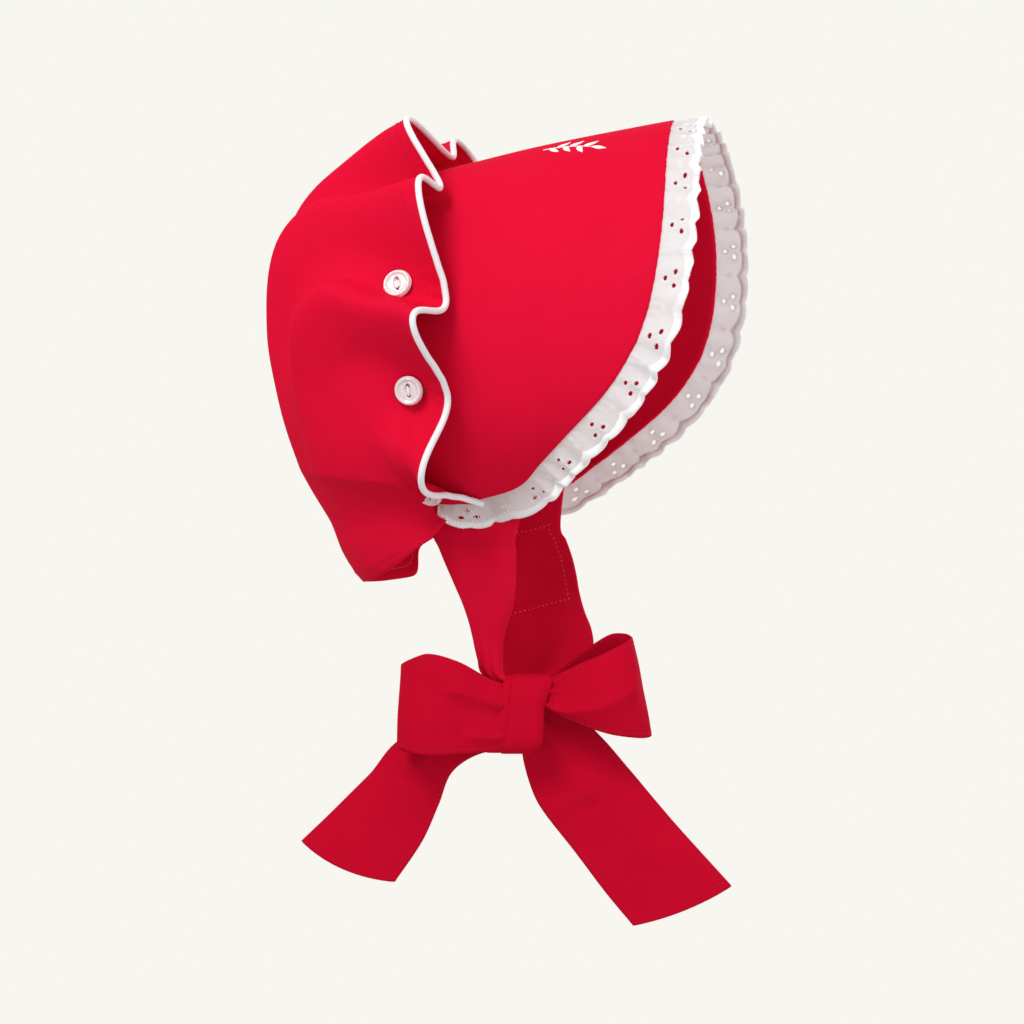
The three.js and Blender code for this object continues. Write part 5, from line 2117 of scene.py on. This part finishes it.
@dataclass
class Bow:
    """The ties knotted in a bow that faces the wearer's right side."""

    brim: Brim
    knot_drop: float = 111
    knot_ahead: float = 38.5
    turn: float = 74 * DEGREE
    knot_width: float = 22
    knot_height: float = 40
    knot_depth: float = 17
    wall: float = 1.2
    roundness: float = 0.62
    stitch_inset: float = 0.045
    box_top: float = 0.25
    box_bottom: float = 0.61
    box_inset: float = 0.12
    box_slant: float = 0.07
    left_creases: tuple[Crease, ...] = (
        Crease(0.82, 0.8, 0.24, 3.0, 0.1, 0.2),
        Crease(0.3, 0.34, 0.34, 2.6, 0.3, 0.1),
    )
    right_creases: tuple[Crease, ...] = (Crease(1.0, 0.42, 0.49, 6.0, 0.5, 0.22),)
    tail_creases: tuple[Crease, ...] = (Crease(0.55, 0.5, 0.5, 2.4, 0.3, 0.14),)
    right_tie: Rows = Rows(
        "at out back back_up front front_up belly",
        (
            (0.3, 0.75, -0.1, -0.13, 0.76, -0.147, -0.02),
            (0.48, 0.65, 0.05, -0.32, 0.73, -0.32, 0.06),
            (0.65, 0.5, 0.19, -0.5, 0.67, -0.48, 0.08),
            (0.82, 0.3, 0.27, -0.7, 0.53, -0.66, 0.06),
            (0.93, 0.16, 0.33, -0.82, 0.53, -0.825, 0.02),
            (1.0, 0.02, 0.62, -0.87, 0.74, -0.86, 0.0),
        ),
    )
    left_tie: Rows = Rows(
        "at out back back_up front front_up belly",
        (
            (0.3, 0.77, -0.02, -0.1, 0.91, -0.1, -0.02),
            (0.48, 0.7, 0.08, -0.28, 1.06, -0.28, 0.04),
            (0.65, 0.62, 0.17, -0.48, 1.16, -0.47, 0.05),
            (0.82, 0.56, 0.3, -0.7, 1.3, -0.68, 0.05),
            (0.93, 0.44, 0.38, -0.82, 1.14, -0.8, 0.02),
            (1.0, 0.14, 0.56, -0.89, 0.9, -0.88, 0.0),
        ),
    )
    left_loop: Rows = Rows(
        "at one_right one_up other_right other_up front belly",
        (
            (0.0, -0.17, 0.27, -0.17, -0.33, 0.08, 0.02),
            (0.12, -0.4, 0.36, -0.42, -0.36, 0.14, 0.05),
            (0.26, -0.72, 0.53, -0.75, -0.38, 0.22, 0.05),
            (0.4, -1.02, 0.61, -1.05, -0.39, 0.22, 0.04),
            (0.47, -1.2, 0.55, -1.22, -0.36, 0.15, 0.02),
            (0.51, -1.28, 0.5, -1.33, -0.33, 0.02, 0.0),
            (0.56, -1.22, 0.52, -1.25, -0.4, -0.12, 0.0),
            (0.68, -0.95, 0.56, -1.0, -0.43, -0.18, -0.03),
            (0.84, -0.6, 0.42, -0.62, -0.39, -0.1, -0.03),
            (1.0, -0.17, 0.2, -0.17, -0.28, 0.0, 0.0),
        ),
    )
    right_loop: Rows = Rows(
        "at one_right one_up other_right other_up front belly",
        (
            (0.0, 0.15, 0.33, 0.12, 0.08, 0.08, 0.02),
            (0.14, 0.42, 0.47, 0.4, -0.05, 0.16, 0.05),
            (0.3, 0.78, 0.63, 0.8, -0.18, 0.2, 0.05),
            (0.42, 1.0, 0.74, 1.12, -0.23, 0.15, 0.03),
            (0.5, 1.06, 0.77, 1.26, -0.22, 0.0, 0.0),
            (0.58, 1.0, 0.8, 1.18, -0.2, -0.14, 0.0),
            (0.7, 0.8, 0.78, 0.9, -0.15, -0.18, -0.04),
            (0.86, 0.45, 0.55, 0.45, -0.02, -0.1, -0.04),
            (1.0, 0.15, 0.3, 0.12, 0.1, 0.0, 0.0),
        ),
    )
    left_tail: Rows = Rows(
        "at one_right one_up other_right other_up front belly",
        (
            (0.0, -0.14, -0.1, -0.1, -0.34, -0.1, 0.0),
            (0.18, -0.62, -0.14, -0.5, -0.42, -0.26, 0.03),
            (0.36, -1.28, -0.28, -0.8, -0.62, -0.31, 0.06),
            (0.56, -1.64, -0.66, -0.94, -0.96, -0.3, 0.08),
            (0.76, -1.96, -0.98, -1.1, -1.32, -0.26, 0.06),
            (1.0, -2.32, -1.32, -1.38, -1.73, -0.18, 0.04),
        ),
    )
    right_tail: Rows = Rows(
        "at one_right one_up other_right other_up front belly",
        (
            (0.0, -0.08, -0.24, 0.14, 0.12, -0.08, 0.0),
            (0.14, -0.05, -0.48, 0.48, -0.03, -0.2, 0.03),
            (0.3, 0.04, -0.79, 0.77, -0.3, -0.27, 0.06),
            (0.42, 0.15, -1.0, 1.01, -0.58, -0.26, 0.06),
            (0.62, 0.48, -1.43, 1.27, -0.89, -0.22, 0.04),
            (0.82, 0.82, -1.87, 1.61, -1.28, -0.18, 0.04),
            (1.0, 1.07, -2.17, 2.06, -1.77, -0.12, 0.02),
        ),
    )
    main_band: Rows = Rows(
        "up left right",
        (
            (-0.5, -0.66, 0.0),
            (-0.4, -0.6, 0.24),
            (-0.17, -0.5, 0.31),
            (0.1, -0.45, 0.34),
            (0.3, -0.43, 0.46),
            (0.42, -0.41, 0.53),
            (0.5, -0.38, 0.5),
        ),
    )
    side_band: Rows = Rows(
        "up left right",
        (
            (-0.5, -1.02, -0.5),
            (-0.4, -0.98, -0.45),
            (-0.17, -0.85, -0.38),
            (0.1, -0.76, -0.33),
            (0.3, -0.66, -0.33),
            (0.42, -0.58, -0.33),
            (0.5, -0.46, -0.33),
        ),
    )

    def to_bonnet(self, points: Array) -> Array:
        """Moves points from the bow's frame to the bonnet's.

        Args:
            points: Points in the bow's frame.

        Returns:
            The same points in the bonnet's frame.
        """
        cosine, sine = math.cos(self.turn), math.sin(self.turn)
        x, y, z = (points[..., k] for k in range(3))
        back = -x * sine + y * cosine - self.knot_ahead
        return np.stack([x * cosine + y * sine, back, z - self.knot_drop], axis=-1)

    def band(self, rows: Rows, depth: float, height: float, seed: int) -> Surface:
        """A strip of cloth wound round the knot from top to bottom.

        Args:
            rows: Its left and right edges at each height, as shares of the knot's width.
            depth: How deep it is from front to back.
            height: How tall it is.
            seed: Fixes its small folds.

        Returns:
            The closed surface.
        """
        angles = np.linspace(0.02, 2 * math.pi - 0.02, 150)
        across, angle = np.meshgrid(np.linspace(0, 1, 30), angles)
        cosine, sine = np.cos(angle), np.sin(angle)
        up = height / 2 * np.sign(cosine) * np.abs(cosine) ** self.roundness
        out = depth / 2 * np.sign(sine) * np.abs(sine) ** self.roundness
        share = np.clip(up / self.knot_height, -0.5, 0.5)
        left, right = (self.knot_width * rows.read(share, side) for side in ("left", "right"))
        behind = np.clip(-sine, 0, 1)
        centre = (left + right) / 2
        half = (right - left) / 2 * (1 - 0.25 * behind)
        x = centre * (1 - 0.3 * behind) + half * (2 * across - 1)
        roll = 1 - 0.16 * np.abs(2 * across - 1) ** 5
        folds = 0.45 * np.sin(across * 2 * math.pi * 1.5 + seed + 1.3 * cosine) * np.abs(sine)
        grid = np.stack([x, -(out * roll) - folds * np.sign(sine), up * (0.96 + 0.04 * roll)], axis=-1)
        return cloth_shell(self.to_bonnet(grid), self.wall)

    def knot(self) -> Surface:
        """The knot: a core under a wide band and a narrower one beside it.

        Returns:
            The surface of all three.
        """
        angle = np.linspace(0, 2 * math.pi, 33)[:-1]
        ups = np.linspace(-0.44, 0.44, 12)
        angle, up = np.meshgrid(angle, ups)
        taper = np.sqrt(np.maximum(1 - (np.abs(up) / 0.47) ** 4, 0.05))
        left, right = (self.knot_width * self.main_band.read(up, side) for side in ("left", "right"))
        x = (left + right) / 2 + (right - left) / 2 * 0.9 * np.cos(angle) * taper
        y = -self.knot_depth * 0.42 * np.sin(angle) * taper
        core = np.stack([x, y, up * self.knot_height], axis=-1)
        rings, sides = core.shape[:2]
        cloth = np.stack(np.meshgrid(np.linspace(0, 60, sides), ups * self.knot_height), axis=-1)
        middle = self.to_bonnet(core.reshape(-1, 3))
        parts = [
            Surface(middle, tube_faces(rings, sides), cloth.reshape(-1, 2)),
            self.band(self.main_band, self.knot_depth + 2.4, self.knot_height, 1),
            self.band(self.side_band, self.knot_depth + 0.6, self.knot_height - 1, 4),
        ]
        points, faces, coordinates = [], [], []
        start = 0
        for part in parts:
            points.append(part.points)
            coordinates.append(part.cloth)
            faces += [[start + corner for corner in face] for face in part.faces]
            start += len(part.points)
        return Surface(np.concatenate(points), faces, np.concatenate(coordinates))

    def sew_edges(self, stitches: Stitches, grid: Array, ends: bool) -> None:
        """Adds stitch lines inside a ribbon's long edges, on both faces.

        Args:
            stitches: Where the lines go.
            grid: The ribbon's face.
            ends: Whether the far end is hemmed too.
        """
        normals = grid_normals(grid)
        inset = max(int(round(self.stitch_inset * (grid.shape[1] - 1))), 1)
        lines = [(slice(4, -3), inset), (slice(4, -3), grid.shape[1] - 1 - inset)]
        if ends:
            lines.append((len(grid) - 5, slice(inset, grid.shape[1] - inset)))
        for face in (0.08, -self.wall - 0.08):
            for line in lines:
                facing = normals[line]
                stitches.path(grid[line] + facing * face, facing * np.sign(face))

    def sew_box(self, stitches: Stitches, grid: Array) -> None:
        """Adds the stitched box that holds the left tie's end to the brim.

        Args:
            stitches: Where its lines go.
            grid: The tie's face.
        """
        normals = grid_normals(grid)
        rows, columns = grid.shape[:2]
        top, bottom, slant = (rows * share for share in (self.box_top, self.box_bottom, self.box_slant))
        left, right = columns * self.box_inset, columns * (1 - self.box_inset)
        corners = [(top, left), (top + slant, right), (bottom + slant, right), (bottom, left)]
        for start, end in zip(corners, corners[1:] + corners[:1], strict=True):
            line = np.linspace(start, end, 80)
            points, facing = on_grid(grid, line), on_grid(normals, line)
            for face in (0.1, -self.wall - 0.1):
                stitches.path(points + facing * face, facing * np.sign(face))

    def build(self, maker: Maker) -> list[bpy.types.Object]:
        """Makes the ties, the knot, the loops, the tails and their stitches.

        Args:
            maker: What makes pieces.

        Returns:
            The pieces.
        """
        pieces = []
        seams, box = Stitches(), Stitches()
        ties = {
            "tie_right": Tie(self.brim, -1, self.right_tie),
            "tie_left": Tie(self.brim, 1, self.left_tie),
        }
        for name, tie in ties.items():
            grid = tie.grid()
            if tie.side > 0:
                grid = grid[:, ::-1]
            surface = cloth_shell(grid, self.wall)
            made = maker.piece(f"{name}_cloth", surface, Finishes.RED_COTTON, SLOT.red, [name])
            self.sew_edges(seams, grid, False)
            pieces.append(made)
            if tie.side > 0:
                self.sew_box(box, grid)
        ribbons = [
            Ribbon("bow_loop_left", self.left_loop, loop=True, creases=self.left_creases, seed=1),
            Ribbon("bow_loop_right", self.right_loop, loop=True, creases=self.right_creases, seed=2),
            Ribbon("tail_left", self.left_tail, end_bulge=4.5, creases=self.tail_creases, seed=3),
            Ribbon("tail_right", self.right_tail, end_bulge=2.5, creases=self.tail_creases, seed=4),
        ]
        for ribbon in ribbons:
            grid = self.to_bonnet(ribbon.grid())
            surface = cloth_shell(grid, self.wall)
            name = ribbon.name
            # The loops and tails wear the darker copy of the ties' red cotton, a painted shade.
            made = maker.piece(f"{name}_cloth", surface, Finishes.SHADED_BOW_COTTON, SLOT.red, [name])
            self.sew_edges(seams, grid, not ribbon.loop)
            pieces.append(made)
        knot = self.knot()
        # The knot wears the same painted shade: the ties' red cotton painted darker.
        pieces.append(
            maker.piece("bow_knot_cloth", knot, Finishes.SHADED_BOW_COTTON, SLOT.red, ["bow_knot"])
        )
        dark = Threads(ThreadLayout.PATH, Finishes.RED_THREAD, 0.42, flatness=0.6)
        pale = Threads(ThreadLayout.PATH, Finishes.PALE_THREAD, 0.42, flatness=0.7, length=1.1)
        pieces.append(dark.sewn(maker, "tie_stitches", SLOT.red, seams))
        pieces.append(pale.sewn(maker, "tie_box_stitches", SLOT.red, box))
        return pieces


@dataclass
class Studio:
    """The camera, the lights and the plain pale floor and backdrop. Lengths are in metres."""

    target: tuple[float, float, float] = (0, -0.04, -0.179)
    azimuth: float = -74 * DEGREE
    distance: float = 1.37
    lens: float = 90.9
    floor: float = -0.62
    sweep: float = 3.0
    bend: float = 1.5
    backdrop: float = 5.0
    sides: int = 64
    world_strength: float = 0.64

    def directions(self) -> tuple[Vector, Vector]:
        """The way back to the camera and the way to its right, as unit vectors."""
        back = Vector((math.sin(self.azimuth), -math.cos(self.azimuth), 0))
        return back, Vector((0, 0, 1)).cross(back)

    def camera(self) -> None:
        """Sets up the camera at the photograph's angle."""
        back, _ = self.directions()
        data = bpy.data.cameras.new("camera")
        data.lens = self.lens
        data.sensor_width = 36
        data.clip_start = 0.05
        data.clip_end = 50
        camera = add_object("camera", data)
        camera.location = Vector(self.target) + back * self.distance
        look_along(camera, -back)
        bpy.context.scene.camera = camera

    def light(
        self, name: str, right: float, up: float, near: float, size: float, power: float
    ) -> None:
        """Adds a soft light that looks at the bonnet.

        Args:
            name: The light's name.
            right: How far it is to the camera's right of the bonnet.
            up: How far above it.
            near: How far toward the camera.
            size: The side of its square.
            power: Its power in watts.
        """
        back, aside = self.directions()
        data = bpy.data.lights.new(name, "AREA")
        data.size = size
        data.energy = power
        lamp = add_object(name, data)
        lamp.location = Vector(self.target) + aside * right + Vector((0, 0, up)) + back * near
        look_along(lamp, Vector(self.target) - lamp.location)

    def paper(self) -> None:
        """Adds the floor, which bends up into the backdrop all round."""
        profile = [(0.0, 0.0), (self.sweep, 0.0)]
        for angle in np.linspace(0, math.pi / 2, 12)[1:]:
            reach, up = self.bend * math.sin(angle), self.bend * (1 - math.cos(angle))
            profile.append((self.sweep + reach, up))
        profile.append((self.sweep + self.bend, self.backdrop))
        points, faces = [], []
        for reach, up in profile:
            points += [(x, y, self.floor + up) for x, y in circle(self.sides, reach).tolist()]
        for ring in range(len(profile) - 1):
            for k in range(self.sides):
                a, b = ring * self.sides + k, ring * self.sides + (k + 1) % self.sides
                faces.append((a, b, b + self.sides, a + self.sides))
        mesh = bpy.data.meshes.new("paper")
        mesh.from_pydata(points, [], faces)
        mesh.shade_smooth()
        mesh.materials.append(Finishes.PAPER.value.material())
        sheet = add_object("paper", mesh)
        sheet.visible_diffuse = False
        sheet.visible_glossy = False
        sheet.visible_shadow = False

    def build(self) -> None:
        """Makes the studio."""
        scene = bpy.context.scene
        scene.view_settings.view_transform = "Standard"
        world = bpy.data.worlds.new("studio")
        world.use_nodes = True
        background = world.node_tree.nodes["Background"]
        background.inputs[0].default_value = (1.0, 0.99, 0.97, 1)
        background.inputs[1].default_value = self.world_strength
        scene.world = world
        self.camera()
        self.light("key", -0.75, 1.15, 1.05, 0.6, 16)
        self.light("side", 1.2, 0.1, 1.0, 1.0, 5)
        self.light("back", 0.7, 0.7, -1.1, 1.0, 9)
        self.paper()


def main() -> None:
    """Builds the studio and every piece of the bonnet in order."""
    Studio().build()
    brim = Brim()
    maker = Maker(brim.seat())
    crown = Crown(brim)
    builders: list[Callable[[Maker], object]] = [
        brim.build,
        crown.build,
        Lace(brim).build,
        Bow(brim).build,
        Button(crown).build,
    ]
    for build in builders:
        build(maker)


if __name__ == "__main__":
    main()
